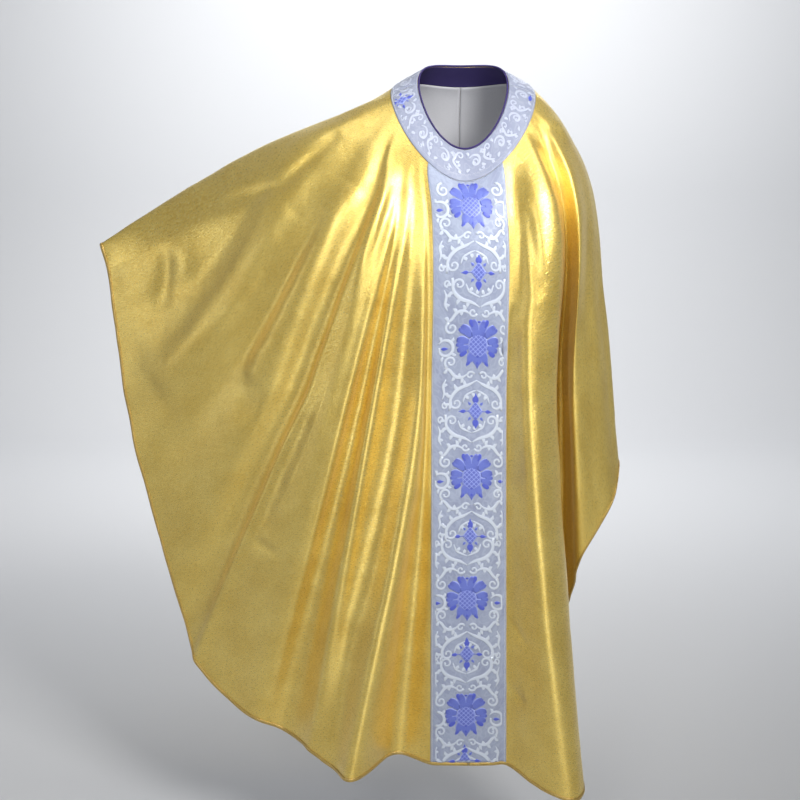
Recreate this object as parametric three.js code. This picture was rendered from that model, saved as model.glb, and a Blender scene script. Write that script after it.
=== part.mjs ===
// A full Gothic chasuble, lined, with a pillar orphrey down the front and the back and a wide
// neck band. It is held as a wearer holds it: right arm raised sideways, left arm lowered.
// Units are millimetres. +Z is up, -Y is the front, +X is the wearer's left. The origin is the
// middle of the neck opening at shoulder height.
//
// Every layer of cloth is an offset of one draped surface. The surface is a ring of stations
// round the neck. Each station is one line down the cloth, on the crest or in the valley of a
// fold, through the neck edge, the band's outer edge, the chest, the waist and the hem.

import * as THREE from 'three';

// ---- Driving dimensions -----------------------------------------------------------------
const BODY_LENGTH = 1285;          // neck level down to the hem at the centre
const WING_REACH = 725;            // centre line out to the tip of the raised right wing
const ARM_REACH = 310;             // centre line out to the lowered left arm
const CHEST_DEPTH = 160;           // neck axis forward to the hanging front
const BACK_DEPTH = 170;            // neck axis back to the hanging back
const NECK_HALF_WIDTH = 83;
const NECK_FRONT = 92;             // neck axis forward to the throat
const NECK_BACK = 62;
const THROAT_DROP = 120;           // how far the throat lies below the sides of the neck
const NAPE_RISE = 36;              // how far the nape lies above the sides of the neck
const NECK_SIDE_LEVEL = 8;
const BAND_WIDTH = 56;             // neck band, at the shoulder
const BAND_FRONT_EXTRA = 10;       // the band is cut wider under the throat
const ORPHREY_WIDTH = 136;         // pillar orphrey, under the neck band
const ORPHREY_FLARE = 9;           // gained by the time it reaches the hem
const ORPHREY_LEAN = { chest: 6, waist: 9, hem: 15 };   // front pillar swings to the left side
const BINDING_WIDTH = 6;
const PIPING_RADIUS = 1.8;

// ---- Cloth thicknesses ------------------------------------------------------------------
const GAP = 0.3;
const SHELL_THICK = 0.8;
const LINING_THICK = 0.6;
const INTERFACING_THICK = 0.6;
const BROCADE_THICK = 1.0;
const BINDING_THICK = 0.6;
const SHARP_TURN = 0.6;            // radians from one column of a mesh to the next
const SEAM_INSET = 0.2;            // each panel stops this far short of its seam
const BINDING_SLACK = 0.6;         // play between the binding and the cloth inside it
const NECK_CLEARANCE = 0.8;        // play between the neck piping and the cut edges

// A level runs down a station from 0 at the neck edge to 1 at the hem. The neck band takes the
// first BAND_LEVEL of it, and below the band a level is a share of the station's own length.
const BAND_LEVEL = 0.05;

// A fold is one crest or valley. `ring` is how far round the band it starts, in percent from
// the orphrey's edge to the shoulder line. Each place is [out, deep, down], in percent: out from
// the orphrey's edge to the reach of the side, deep of the front or back depth, and down the
// length. A place behind the neck axis has its depth below zero on the front.
const fold = (name, ring, chest, waist, hem) => ({ name, ring, chest, waist, hem });

const FRONT_RIGHT_FOLDS = [
  fold('orphrey_valley', 4, [1, 88, 17.5], [1.5, 92, 45.5], [8.5, 84, 99.5]),
  fold('first_crest', 9, [2, 94, 18], [3, 107, 45], [23, 142, 100]),
  fold('first_flank', 15, [4.5, 89, 18], [9.5, 92, 44.8], [30, 103, 100]),
  fold('second_crest', 21, [6.5, 95, 17.8], [15.5, 108, 43.8], [36, 79, 98.7]),
  fold('second_valley', 27, [8.5, 89, 17.2], [19, 90, 44], [43.5, 48, 98.2]),
  fold('third_crest', 33, [10, 94, 16.8], [23, 104, 43.8], [50.5, 45, 96.5]),
  fold('third_plane', 39, [11.5, 94, 16.4], [26.5, 102, 43.8], [59, 26, 94.8]),
  fold('wing_crest', 45, [13.5, 94, 16.1], [29.5, 94, 43.7], [69.5, 1, 90.5]),
  fold('wing_turn', 51, [15.5, 83, 15.5], [34.5, 66, 42.9], [74, -16, 86]),
  fold('forearm_plane', 58, [20.5, 81, 14.4], [44.5, 60, 39], [80, -25, 74.2]),
  fold('elbow_hollow', 66, [26, 66, 13.1], [54.5, 30, 38], [86.5, -41, 62.4]),
  fold('elbow_crest', 75, [32, 53, 11], [63, 18, 34.5], [93, -59, 47.7]),
  fold('sleeve_hollow', 84, [36, 38, 8.9], [70, -13, 29.6], [96, -72, 36]),
  fold('sleeve_front', 92, [39.5, 10, 7.5], [76.5, -32, 22.2], [98, -80, 27.4]),
];
const RIGHT_SHOULDER = fold('right_shoulder', 100, [43, -19, 7.2], [77.5, -69, 16], [100, -84, 23.2]);

const FRONT_LEFT_FOLDS = [
  fold('panel_valley', 8, [7, 88, 16.5], [8.5, 106, 45.3], [19, 128, 101.2]),
  fold('panel_crest', 17, [12.5, 91, 15.8], [17.5, 119, 45.2], [41.5, 147, 102]),
  fold('panel_shoulder', 27, [18.5, 91, 14.4], [27.5, 113, 45.3], [57, 148, 102.5]),
  fold('panel_edge', 37, [29.5, 81, 12.3], [39.5, 91, 45.9], [64.5, 133, 102]),
  fold('turned_edge', 44, [33.5, 63, 12], [41, 44, 46.8], [60, 75, 98.7]),
  fold('deep_valley', 49, [35, 55, 11.7], [45.5, 8, 47.2], [52, 19, 91.8]),
  fold('deep_floor', 54, [36, 52, 11.3], [47, -3, 45], [52, -14, 86.8]),
  fold('deep_bend', 59, [37, 50, 10.9], [52.5, -6, 43], [59, -19, 81.7]),
  fold('deep_rise', 64, [38.5, 50, 10.3], [55.5, 14, 42], [62, 6, 76.7]),
  fold('arm_crest', 71, [42.5, 50, 8.9], [56, 61, 45.6], [65, 50, 69.8]),
  fold('arm_front', 80, [52, 31, 8.9], [66, 46, 32.5], [82, 47, 64.4]),
  fold('arm_side', 91, [60, 9, 9.4], [78.5, 25, 31.2], [97, 33, 59.7]),
];
const LEFT_SHOULDER = fold('left_shoulder', 100, [61.5, -12, 8.8], [86, 3, 31], [102, 12, 55.7]);

const BACK_RIGHT_FOLDS = [
  fold('back_sleeve', 92, [39, 41, 8.6], [75, 88, 22.6], [98, 94, 27.4]),
  fold('back_elbow', 80, [33, 59, 10.9], [65, 97, 34.2], [94.5, 106, 42]),
  fold('blade_hollow', 67, [25, 71, 12.8], [54, 88, 38.9], [88.5, 94, 59.1]),
  fold('blade_crest', 54, [18.5, 76, 14.4], [42, 103, 42], [79.5, 112, 76.3]),
  fold('back_third_valley', 41, [12, 79, 15.6], [28.5, 88, 44], [63, 97, 91]),
  fold('back_second_crest', 28, [7, 82, 16.3], [17.5, 103, 44.7], [40.5, 115, 96.9]),
  fold('back_first_valley', 14, [3.5, 79, 16.7], [7.5, 91, 45.1], [17.5, 100, 99.2]),
];
const BACK_LEFT_FOLDS = [
  fold('back_arm_side', 91, [60, 35, 9.3], [79, 28, 31.2], [97, 18, 59.1]),
  fold('back_arm', 78, [52, 53, 11.7], [68.5, 54, 32.5], [83, 53, 66.1]),
  fold('back_left_hollow', 64, [40, 65, 13.6], [65, 65, 45.9], [67, 70, 74.7]),
  fold('back_left_crest', 49, [27.5, 74, 15.2], [47, 88, 45.9], [56, 103, 84.4]),
  fold('back_left_valley', 33, [17.5, 78, 16], [29.5, 82, 45.8], [33, 97, 93.4]),
  fold('back_left_first', 16, [10, 79, 16.5], [15, 97, 45.7], [13, 111, 98.6]),
];
const FRONT_PILLAR = { deep: [88, 93, 100], down: [16.4, 45.6, 100] };
const BACK_PILLAR = { deep: [79, 94, 103], down: [16.7, 45.6, 100] };

// ---- Looks ------------------------------------------------------------------------------
const LAME = { color: 0xc8a94a, roughness: 0.38, metalness: 0.65 };
const BROCADE = { color: 0xb4bad2, roughness: 0.6, metalness: 0.15 };
const INDIGO = { color: 0x2c2350, roughness: 0.85, metalness: 0 };
const LINING = { color: 0xcfd0d4, roughness: 0.7, metalness: 0 };
const CANVAS = { color: 0xe3ddca, roughness: 0.9, metalness: 0 };
const BINDING = { color: 0x8a6b22, roughness: 0.55, metalness: 0.35 };

// ---- The neck ---------------------------------------------------------------------------
// Ring angles are in radians: 0 at the throat, +PI/2 on the left shoulder, PI at the nape.
function neckPoint(angle) {
  const forward = Math.cos(angle);
  const reach = forward > 0 ? NECK_FRONT : NECK_BACK;
  const slope = (THROAT_DROP + NAPE_RISE) / 2;
  const bow = (THROAT_DROP - NAPE_RISE) / 2;
  const level = NECK_SIDE_LEVEL - slope * forward - bow * forward ** 2;
  return new THREE.Vector3(NECK_HALF_WIDTH * Math.sin(angle), -reach * forward, level);
}

function bandPoint(angle) {
  const forward = Math.cos(angle);
  const steep = forward > 0 ? 42 : 20;
  const slope = THREE.MathUtils.degToRad(21 + steep * forward ** 2);
  const width = BAND_WIDTH + BAND_FRONT_EXTRA * Math.max(forward, 0) ** 2;
  const depth = forward > 0 ? NECK_FRONT : NECK_BACK;
  const outward = new THREE.Vector3(Math.sin(angle) * depth, -forward * NECK_HALF_WIDTH, 0);
  outward.setLength(width * Math.cos(slope));
  outward.z = -width * Math.sin(slope);
  return neckPoint(angle).add(outward);
}

// The ring angle, between the throat and a shoulder, where the band's edge lies `x` out.
function angleAtBandEdge(x) {
  let low = 0;
  let high = Math.PI / 2;
  for (let i = 0; i < 40; i += 1) {
    const middle = (low + high) / 2;
    if (bandPoint(middle).x < x) low = middle;
    else high = middle;
  }
  return (low + high) / 2;
}

// ---- Stations ---------------------------------------------------------------------------
const LEVEL_NAMES = ['chest', 'waist', 'hem'];

function pillarEdge(side, facing, level) {
  const lean = facing === 'front' ? ORPHREY_LEAN[LEVEL_NAMES[level]] : 0;
  const half = (ORPHREY_WIDTH + ORPHREY_FLARE * [0.1, 0.4, 1][level]) / 2;
  return { signed: side * half + lean, out: half + side * lean };
}

function placeFold(entry, side, facing) {
  const back = facing === 'back';
  const reach = side < 0 ? WING_REACH : ARM_REACH;
  const depth = back ? BACK_DEPTH : -CHEST_DEPTH;
  const edgeAngle = angleAtBandEdge(ORPHREY_WIDTH / 2);
  const turn = THREE.MathUtils.lerp(edgeAngle, Math.PI / 2, entry.ring / 100);
  const angle = side * (back ? Math.PI - turn : turn);
  const places = LEVEL_NAMES.map((name, level) => {
    const [out, deep, down] = entry[name];
    const edge = pillarEdge(side, facing, level).out;
    const x = side * (edge + (reach - edge) * out / 100);
    return new THREE.Vector3(x, depth * deep / 100, -BODY_LENGTH * down / 100);
  });
  return { name: entry.name, points: [neckPoint(angle), bandPoint(angle), ...places] };
}

function placePillar(share, facing) {
  const back = facing === 'back';
  const pillar = back ? BACK_PILLAR : FRONT_PILLAR;
  const depth = back ? BACK_DEPTH : -CHEST_DEPTH;
  const turn = share * angleAtBandEdge(ORPHREY_WIDTH / 2);
  const angle = back ? Math.PI - turn : turn;
  const places = LEVEL_NAMES.map((_, level) => {
    const left = pillarEdge(-1, facing, level).signed;
    const right = pillarEdge(1, facing, level).signed;
    const x = THREE.MathUtils.lerp(left, right, (share + 1) / 2);
    const bow = 1 + 0.02 * (1 - share ** 2);
    const y = depth * bow * pillar.deep[level] / 100;
    return new THREE.Vector3(x, y, -BODY_LENGTH * pillar.down[level] / 100);
  });
  return { name: `${facing}_pillar`, points: [neckPoint(angle), bandPoint(angle), ...places] };
}

const pillarStations = (facing, shares) => shares.map((share) => placePillar(share, facing));
const foldStations = (folds, side, facing) => folds.map((entry) => placeFold(entry, side, facing));
const reversed = (list) => [...list].reverse();

const GROUPS = [
  ['back_right_pillar', pillarStations('back', [0, -0.33, -0.67, -1])],
  ['back_right', reversed(foldStations(BACK_RIGHT_FOLDS, -1, 'back'))],
  ['right_shoulder', [placeFold(RIGHT_SHOULDER, -1, 'front')]],
  ['front_right', reversed(foldStations(FRONT_RIGHT_FOLDS, -1, 'front'))],
  ['front_pillar', pillarStations('front', [-1, -0.67, -0.33, 0, 0.33, 0.67, 1])],
  ['front_left', foldStations(FRONT_LEFT_FOLDS, 1, 'front')],
  ['left_shoulder', [placeFold(LEFT_SHOULDER, 1, 'front')]],
  ['back_left', foldStations(BACK_LEFT_FOLDS, 1, 'back')],
  ['back_left_pillar', pillarStations('back', [1, 0.67, 0.33])],
];
const START = {};
const STATIONS = [];
for (const [name, stations] of GROUPS) {
  START[name] = STATIONS.length;
  STATIONS.push(...stations);
}
const COUNT = STATIONS.length;
for (const station of STATIONS) {
  const { points } = station;
  station.chords = points.slice(1).map((point, i) => point.distanceTo(points[i]));
}

// ---- The draped surface -----------------------------------------------------------------
// One span of a smooth curve through a, b, c, d, between b and c, with the given knot spacings.
function span(a, b, c, d, before, along, after, t) {
  const slopeIn = new THREE.Vector3().subVectors(c, b).divideScalar(along);
  const slopeBefore = new THREE.Vector3().subVectors(b, a).divideScalar(before);
  const slopeAfter = new THREE.Vector3().subVectors(d, c).divideScalar(after);
  const start = slopeBefore.lerp(slopeIn, before / (before + along)).multiplyScalar(along);
  const end = slopeAfter.lerp(slopeIn, after / (after + along)).multiplyScalar(along);
  const result = b.clone().multiplyScalar(2 * t ** 3 - 3 * t ** 2 + 1);
  result.addScaledVector(start, t ** 3 - 2 * t ** 2 + t);
  result.addScaledVector(c, -2 * t ** 3 + 3 * t ** 2);
  return result.addScaledVector(end, t ** 3 - t ** 2);
}

function stationPoint(index, level) {
  const { points, chords } = STATIONS[((index % COUNT) + COUNT) % COUNT];
  const [bandChord, ...bodyChords] = chords;
  const body = bodyChords.reduce((sum, chord) => sum + chord, 0);
  const below = (level - BAND_LEVEL) / (1 - BAND_LEVEL);
  let way = below < 0 ? bandChord * level / BAND_LEVEL : bandChord + body * below;
  let i = 0;
  while (i < chords.length - 1 && way > chords[i]) {
    way -= chords[i];
    i += 1;
  }
  const a = points[i - 1] ?? points[0].clone().multiplyScalar(2).sub(points[1]);
  const d = points[i + 2] ?? points[i + 1].clone().multiplyScalar(2).sub(points[i]);
  const before = chords[i - 1] ?? chords[i];
  const after = chords[i + 1] ?? chords[i];
  return span(a, points[i], points[i + 1], d, before, chords[i], after, way / chords[i]);
}

function surfacePoint(u, v) {
  const index = Math.floor(u);
  const [a, b, c, d] = [-1, 0, 1, 2].map((step) => stationPoint(index + step, v));
  const knots = [a.distanceTo(b), b.distanceTo(c), c.distanceTo(d)].map(Math.sqrt);
  return span(a, b, c, d, knots[0], knots[1], knots[2], u - index);
}

const STEP_U = 0.02;
const STEP_V = 0.002;

function surfaceFrame(u, v) {
  const point = surfacePoint(u, v);
  const low = Math.max(v - STEP_V, 0);
  const high = Math.min(v + STEP_V, 1);
  const across = surfacePoint(u + STEP_U, v).sub(surfacePoint(u - STEP_U, v)).normalize();
  const down = surfacePoint(u, high).sub(surfacePoint(u, low)).normalize();
  const normal = new THREE.Vector3().crossVectors(down, across).normalize();
  return { point, across, down, normal };
}

// ---- Rows and columns of a layer ----------------------------------------------------------
// A row is a level, or a distance in millimetres inward from the neck edge or up from the hem.
const fromNeck = (distance) => ({ level: BAND_LEVEL * distance / BAND_WIDTH, up: 0 });
const atLevel = (level) => ({ level, up: 0 });
const upFromHem = (distance) => ({ level: 1, up: distance });

const BODY_ROWS = [0.1, 0.17, 0.25, 0.35, 0.46, 0.6, 0.73, 0.87].map(atLevel);
const BAND_EDGE = atLevel(BAND_LEVEL);
const BAND_ROWS = [fromNeck(PIPING_RADIUS + NECK_CLEARANCE), fromNeck(BAND_WIDTH / 2)];
const HEM_ROWS = [upFromHem(BINDING_WIDTH), upFromHem(0)];
const SHELL_ROWS = [...BAND_ROWS, BAND_EDGE, ...BODY_ROWS, ...HEM_ROWS];
const COLLAR_ROWS = [...BAND_ROWS, fromNeck(BAND_WIDTH - GAP)];
const LINING_ROWS = [BAND_EDGE, ...BODY_ROWS, ...HEM_ROWS];
const PILLAR_ROWS = [BAND_EDGE, ...BODY_ROWS, upFromHem(BINDING_WIDTH + GAP)];

function rowLevel(row, u) {
  if (row.up === 0) return row.level;
  const sample = 0.03;
  const length = surfacePoint(u, 1 - sample).distanceTo(surfacePoint(u, 1));
  return row.level - sample * row.up / length;
}

// Columns from one station to another. A span that turns sharply, there or at the hem, is split.
// Each end stops short of its seam by `inset` millimetres.
function columns(from, to, inset = SEAM_INSET) {
  const list = [];
  for (let station = from; station < to; station += 1) {
    const turns = [0.5, 1].map((level) => (
      surfaceFrame(station, level).normal.angleTo(surfaceFrame(station + 1, level).normal)
    ));
    const parts = Math.ceil(Math.max(...turns) / SHARP_TURN);
    for (let i = 0; i < Math.max(parts, 1); i += 1) list.push({ u: station + i / parts, inset: 0 });
  }
  list.push({ u: to, inset: -inset });
  list[0].inset = inset;
  return list;
}

function layerPoint(column, row, height) {
  const { point, across, normal } = surfaceFrame(column.u, rowLevel(row, column.u));
  return point.addScaledVector(across, column.inset).addScaledVector(normal, height);
}

// ---- Solids -----------------------------------------------------------------------------
function solid(vertices, triangles) {
  const geometry = new THREE.BufferGeometry();
  const positions = vertices.flatMap((vertex) => vertex.toArray());
  geometry.setAttribute('position', new THREE.Float32BufferAttribute(positions, 3));
  geometry.setIndex(triangles.flat());
  geometry.computeVertexNormals();
  return geometry;
}

const quad = (a, b, c, d) => [[a, b, c], [a, c, d]];

// A sheet of cloth between two heights over the draped surface, closed at all four edges.
function sheet(columnList, rows, outer, inner) {
  const wide = columnList.length;
  const tall = rows.length;
  const vertices = [];
  for (const height of [outer, inner]) {
    for (const row of rows) {
      for (const column of columnList) vertices.push(layerPoint(column, row, height));
    }
  }
  const at = (side, row, column) => (side * tall + row) * wide + column;
  const triangles = [];
  for (let r = 0; r + 1 < tall; r += 1) {
    for (let c = 0; c + 1 < wide; c += 1) {
      triangles.push([at(0, r, c), at(0, r + 1, c), at(0, r + 1, c + 1)]);
      triangles.push([at(0, r, c), at(0, r + 1, c + 1), at(0, r, c + 1)]);
      triangles.push([at(1, r, c), at(1, r + 1, c + 1), at(1, r + 1, c)]);
      triangles.push([at(1, r, c), at(1, r, c + 1), at(1, r + 1, c + 1)]);
    }
    const right = wide - 1;
    triangles.push(...quad(at(0, r, 0), at(1, r, 0), at(1, r + 1, 0), at(0, r + 1, 0)));
    triangles.push(...quad(at(0, r, right), at(0, r + 1, right), at(1, r + 1, right), at(1, r, right)));
  }
  const bottom = tall - 1;
  for (let c = 0; c + 1 < wide; c += 1) {
    triangles.push(...quad(at(0, 0, c), at(0, 0, c + 1), at(1, 0, c + 1), at(1, 0, c)));
    triangles.push(...quad(at(0, bottom, c), at(1, bottom, c), at(1, bottom, c + 1), at(0, bottom, c + 1)));
  }
  return solid(vertices, triangles);
}

// The binding is a channel folded over the hem, outside the shell and inside the lining.
function bindingSection(column) {
  const outside = BINDING_SLACK;
  const inside = -(SHELL_THICK + GAP + LINING_THICK + BINDING_SLACK);
  const { across, normal } = surfaceFrame(column.u, 1);
  const outward = new THREE.Vector3().crossVectors(across, normal);
  const [top, edge] = HEM_ROWS;
  const corner = (row, height, beyond) => (
    layerPoint(column, row, height).addScaledVector(outward, beyond)
  );
  const wrap = BINDING_SLACK + BINDING_THICK;
  return [
    corner(top, outside + BINDING_THICK, 0), corner(edge, outside + BINDING_THICK, wrap),
    corner(edge, inside - BINDING_THICK, wrap), corner(top, inside - BINDING_THICK, 0),
    corner(top, inside, 0), corner(edge, inside, BINDING_SLACK),
    corner(edge, outside, BINDING_SLACK), corner(top, outside, 0),
  ];
}

// Faces whose corners run up the cloth. They split on the other diagonal, as the sheets do.
const UPWARD_FACES = [2, 5, 6];

function binding(columnList) {
  const sections = columnList.map(bindingSection);
  const size = sections[0].length;
  const triangles = [];
  for (let c = 0; c + 1 < sections.length; c += 1) {
    for (let k = 0; k < size; k += 1) {
      const next = (k + 1) % size;
      const [a, b] = [c * size + k, c * size + next];
      const split = UPWARD_FACES.includes(k) ? [b, b + size, a + size, a] : [a, b, b + size, a + size];
      triangles.push(...quad(...split));
    }
  }
  const end = (sections.length - 1) * size;
  for (const [a, b, c, d] of [[0, 1, 6, 7], [1, 2, 5, 6], [2, 3, 4, 5]]) {
    triangles.push(...quad(a, d, c, b));
    triangles.push(...quad(end + a, end + b, end + c, end + d));
  }
  return solid(sections.flat(), triangles);
}

function piping() {
  const steps = 48;
  const ring = Array.from({ length: steps }, (_, i) => neckPoint(2 * Math.PI * i / steps));
  const path = new THREE.CatmullRomCurve3(ring, true);
  return new THREE.TubeGeometry(path, steps, PIPING_RADIUS, 8, true);
}

// ---- The garment ------------------------------------------------------------------------
const chasuble = new THREE.Group();

function add(name, geometry, look) {
  const mesh = new THREE.Mesh(geometry, new THREE.MeshStandardMaterial(look));
  mesh.name = name;
  chasuble.add(mesh);
}

const SEAMS = {
  backCentre: START.back_right_pillar,
  rightShoulder: START.right_shoulder,
  frontCentre: START.front_pillar + 3,
  leftShoulder: START.left_shoulder,
};
const PANELS = {
  back_right: columns(SEAMS.backCentre, SEAMS.rightShoulder),
  front_right: columns(SEAMS.rightShoulder, SEAMS.frontCentre),
  front_left: columns(SEAMS.frontCentre, SEAMS.leftShoulder),
  back_left: columns(SEAMS.leftShoulder, COUNT),
};
const liningTop = -(SHELL_THICK + GAP);
const liningBottom = liningTop - LINING_THICK;
for (const [name, list] of Object.entries(PANELS)) {
  add(`${name}_shell`, sheet(list, SHELL_ROWS, 0, -SHELL_THICK), LAME);
  add(`${name}_lining`, sheet(list, LINING_ROWS, liningTop, liningBottom), LINING);
  add(`${name}_hem_binding`, binding(list), BINDING);
}

const HALVES = {
  front: columns(SEAMS.rightShoulder, SEAMS.leftShoulder),
  back: columns(SEAMS.leftShoulder, COUNT + SEAMS.rightShoulder),
};
const PILLARS = {
  front: columns(START.front_pillar, START.front_pillar + 6, 0),
  back: columns(START.back_left_pillar, COUNT + 3, 0),
};
const interfacingTop = GAP + INTERFACING_THICK;
const brocadeBottom = interfacingTop + GAP;
const brocadeTop = brocadeBottom + BROCADE_THICK;
const FACING_ROWS = COLLAR_ROWS;
for (const half of ['front', 'back']) {
  add(`${half}_neck_band`, sheet(HALVES[half], COLLAR_ROWS, brocadeTop, brocadeBottom), BROCADE);
  add(`${half}_band_interfacing`, sheet(HALVES[half], COLLAR_ROWS, interfacingTop, GAP), CANVAS);
  add(`${half}_neck_facing`, sheet(HALVES[half], FACING_ROWS, liningTop, liningBottom), INDIGO);
  add(`${half}_orphrey`, sheet(PILLARS[half], PILLAR_ROWS, brocadeTop, brocadeBottom), BROCADE);
  add(`${half}_orphrey_interfacing`, sheet(PILLARS[half], PILLAR_ROWS, interfacingTop, GAP), CANVAS);
}
add('neck_piping', piping(), INDIGO);

export default chasuble;
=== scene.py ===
"""A lined gold lame chasuble with brocade orphreys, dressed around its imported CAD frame.

Everything is in metres in the frame of the CAD model: +Z up, -Y the front, +X the wearer's
left. Each layer of cloth is an offset of one draped surface. That surface is a ring of stations
round the neck, each a line down the cloth through the crest or the valley of a fold.
"""

import logging
import math
from dataclasses import dataclass, field, replace
from enum import Enum
from typing import ClassVar, Sequence

import bpy
import numpy as np
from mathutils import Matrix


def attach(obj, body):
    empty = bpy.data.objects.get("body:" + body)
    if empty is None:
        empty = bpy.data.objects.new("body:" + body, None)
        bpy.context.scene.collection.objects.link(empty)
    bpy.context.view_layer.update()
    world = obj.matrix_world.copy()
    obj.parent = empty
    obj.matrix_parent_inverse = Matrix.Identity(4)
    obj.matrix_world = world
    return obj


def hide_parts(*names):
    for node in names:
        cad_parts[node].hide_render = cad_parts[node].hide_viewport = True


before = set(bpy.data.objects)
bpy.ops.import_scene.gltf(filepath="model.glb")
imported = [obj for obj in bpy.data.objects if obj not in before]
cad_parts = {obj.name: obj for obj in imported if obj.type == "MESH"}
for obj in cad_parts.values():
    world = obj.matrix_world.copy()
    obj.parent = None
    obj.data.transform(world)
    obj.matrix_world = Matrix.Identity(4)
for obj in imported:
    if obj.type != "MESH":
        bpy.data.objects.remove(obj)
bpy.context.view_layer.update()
LOG = logging.getLogger("chasuble")
MM = 0.001


class Facing(Enum):
    """Which way a half of the garment faces."""

    FRONT = "front"
    BACK = "back"


class Side(Enum):
    """The wearer's right or left, as the sign of X."""

    RIGHT = -1
    LEFT = 1


# ---- The draped surface ----------------------------------------------------------------------


@dataclass(frozen=True)
class Fold:
    """One crest or valley of the cloth.

    `ring` is percent round the neck band from the orphrey's edge to the shoulder line. Each place
    is percent out from the orphrey's edge to the side's reach, percent of the depth, and percent
    down the length.
    """

    ring: float
    chest: tuple[float, float, float]
    waist: tuple[float, float, float]
    hem: tuple[float, float, float]


FRONT_RIGHT = (
    Fold(4, (1, 89.5, 17.5), (1.5, 92, 45.5), (8.5, 84, 99.5)),
    Fold(9, (2, 91, 18), (3, 107, 45), (23, 142, 100)),
    Fold(15, (4.5, 90.5, 18), (9.5, 92, 44.8), (30, 103, 100)),
    Fold(21, (6.5, 92.5, 17.8), (15.5, 108, 43.8), (36, 79, 98.7)),
    Fold(27, (8.5, 91, 17.2), (19, 90, 44), (43.5, 48, 98.2)),
    Fold(33, (10, 93, 16.8), (23, 104, 43.8), (50.5, 45, 96.5)),
    Fold(39, (11.5, 94, 16.4), (26.5, 102, 43.8), (59, 26, 94.8)),
    Fold(45, (13.5, 94, 16.1), (29.5, 94, 43.7), (69.5, 1, 90.5)),
    Fold(51, (15.5, 83, 15.5), (34.5, 66, 42.9), (74, -16, 86)),
    Fold(58, (20.5, 81, 14.4), (44.5, 60, 39), (80, -25, 74.2)),
    Fold(66, (26, 66, 13.1), (54.5, 30, 38), (86.5, -41, 62.4)),
    Fold(75, (32, 53, 11), (63, 18, 34.5), (93, -59, 47.7)),
    Fold(84, (36, 38, 8.9), (70, -13, 29.6), (96, -72, 36)),
    Fold(92, (39.5, 10, 7.5), (76.5, -32, 22.2), (98, -80, 27.4)),
)
RIGHT_SHOULDER = Fold(100, (43, -19, 7.2), (77.5, -69, 16), (100, -84, 23.2))
FRONT_LEFT = (
    Fold(8, (7, 88, 16.5), (8.5, 106, 45.3), (19, 128, 101.2)),
    Fold(17, (12.5, 91, 15.8), (17.5, 119, 45.2), (41.5, 147, 102)),
    Fold(27, (18.5, 91, 14.4), (27.5, 113, 45.3), (57, 148, 102.5)),
    Fold(37, (29.5, 81, 12.3), (39.5, 91, 45.9), (64.5, 133, 102)),
    Fold(44, (33.5, 63, 12), (41, 44, 46.8), (60, 75, 98.7)),
    Fold(49, (35, 55, 11.7), (45.5, 8, 47.2), (52, 19, 91.8)),
    Fold(54, (36, 52, 11.3), (47, -3, 45), (52, -14, 86.8)),
    Fold(59, (37, 50, 10.9), (52.5, -6, 43), (59, -19, 81.7)),
    Fold(64, (38.5, 50, 10.3), (55.5, 14, 42), (62, 6, 76.7)),
    Fold(71, (42.5, 50, 8.9), (56, 61, 45.6), (65, 50, 69.8)),
    Fold(80, (52, 31, 8.9), (66, 46, 32.5), (82, 47, 64.4)),
    Fold(91, (60, 9, 9.4), (78.5, 25, 31.2), (97, 33, 59.7)),
)
LEFT_SHOULDER = Fold(100, (61.5, -12, 8.8), (86, 3, 31), (102, 12, 55.7))
BACK_RIGHT = (
    Fold(92, (39, 41, 8.6), (75, 88, 22.6), (98, 94, 27.4)),
    Fold(80, (33, 59, 10.9), (65, 97, 34.2), (94.5, 106, 42)),
    Fold(67, (25, 71, 12.8), (54, 88, 38.9), (88.5, 94, 59.1)),
    Fold(54, (18.5, 76, 14.4), (42, 103, 42), (79.5, 112, 76.3)),
    Fold(41, (12, 79, 15.6), (28.5, 88, 44), (63, 97, 91)),
    Fold(28, (7, 82, 16.3), (17.5, 103, 44.7), (40.5, 115, 96.9)),
    Fold(14, (3.5, 79, 16.7), (7.5, 91, 45.1), (17.5, 100, 99.2)),
)
BACK_LEFT = (
    Fold(91, (60, 35, 9.3), (79, 28, 31.2), (97, 18, 59.1)),
    Fold(78, (52, 53, 11.7), (68.5, 54, 32.5), (83, 53, 66.1)),
    Fold(64, (40, 65, 13.6), (65, 65, 45.9), (67, 70, 74.7)),
    Fold(49, (27.5, 74, 15.2), (47, 88, 45.9), (56, 103, 84.4)),
    Fold(33, (17.5, 78, 16), (29.5, 82, 45.8), (33, 97, 93.4)),
    Fold(16, (10, 79, 16.5), (15, 97, 45.7), (13, 111, 98.6)),
)


@dataclass(frozen=True)
class Pattern:
    """The garment's driving sizes, in metres, the same as the CAD model's."""

    length: float = 1.285
    wing_reach: float = 0.725
    arm_reach: float = 0.310
    chest_depth: float = 0.160
    back_depth: float = 0.170
    neck_half_width: float = 0.083
    neck_front: float = 0.092
    neck_back: float = 0.062
    throat_drop: float = 0.120
    nape_rise: float = 0.036
    neck_side_level: float = 0.008
    band_width: float = 0.056
    band_front_extra: float = 0.010
    orphrey_width: float = 0.136
    orphrey_flare: float = 0.009
    lean: tuple[float, float, float] = (0.006, 0.009, 0.015)
    front_deep: tuple[float, float, float] = (88, 93, 100)
    front_down: tuple[float, float, float] = (16.4, 45.6, 100)
    back_deep: tuple[float, float, float] = (79, 94, 103)
    back_down: tuple[float, float, float] = (16.7, 45.6, 100)


BAND_LEVEL = 0.05
FLARE_SHARES = (0.1, 0.4, 1.0)
PILLAR_HALF = 3
CHEST_TO_HEM = 3


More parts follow.
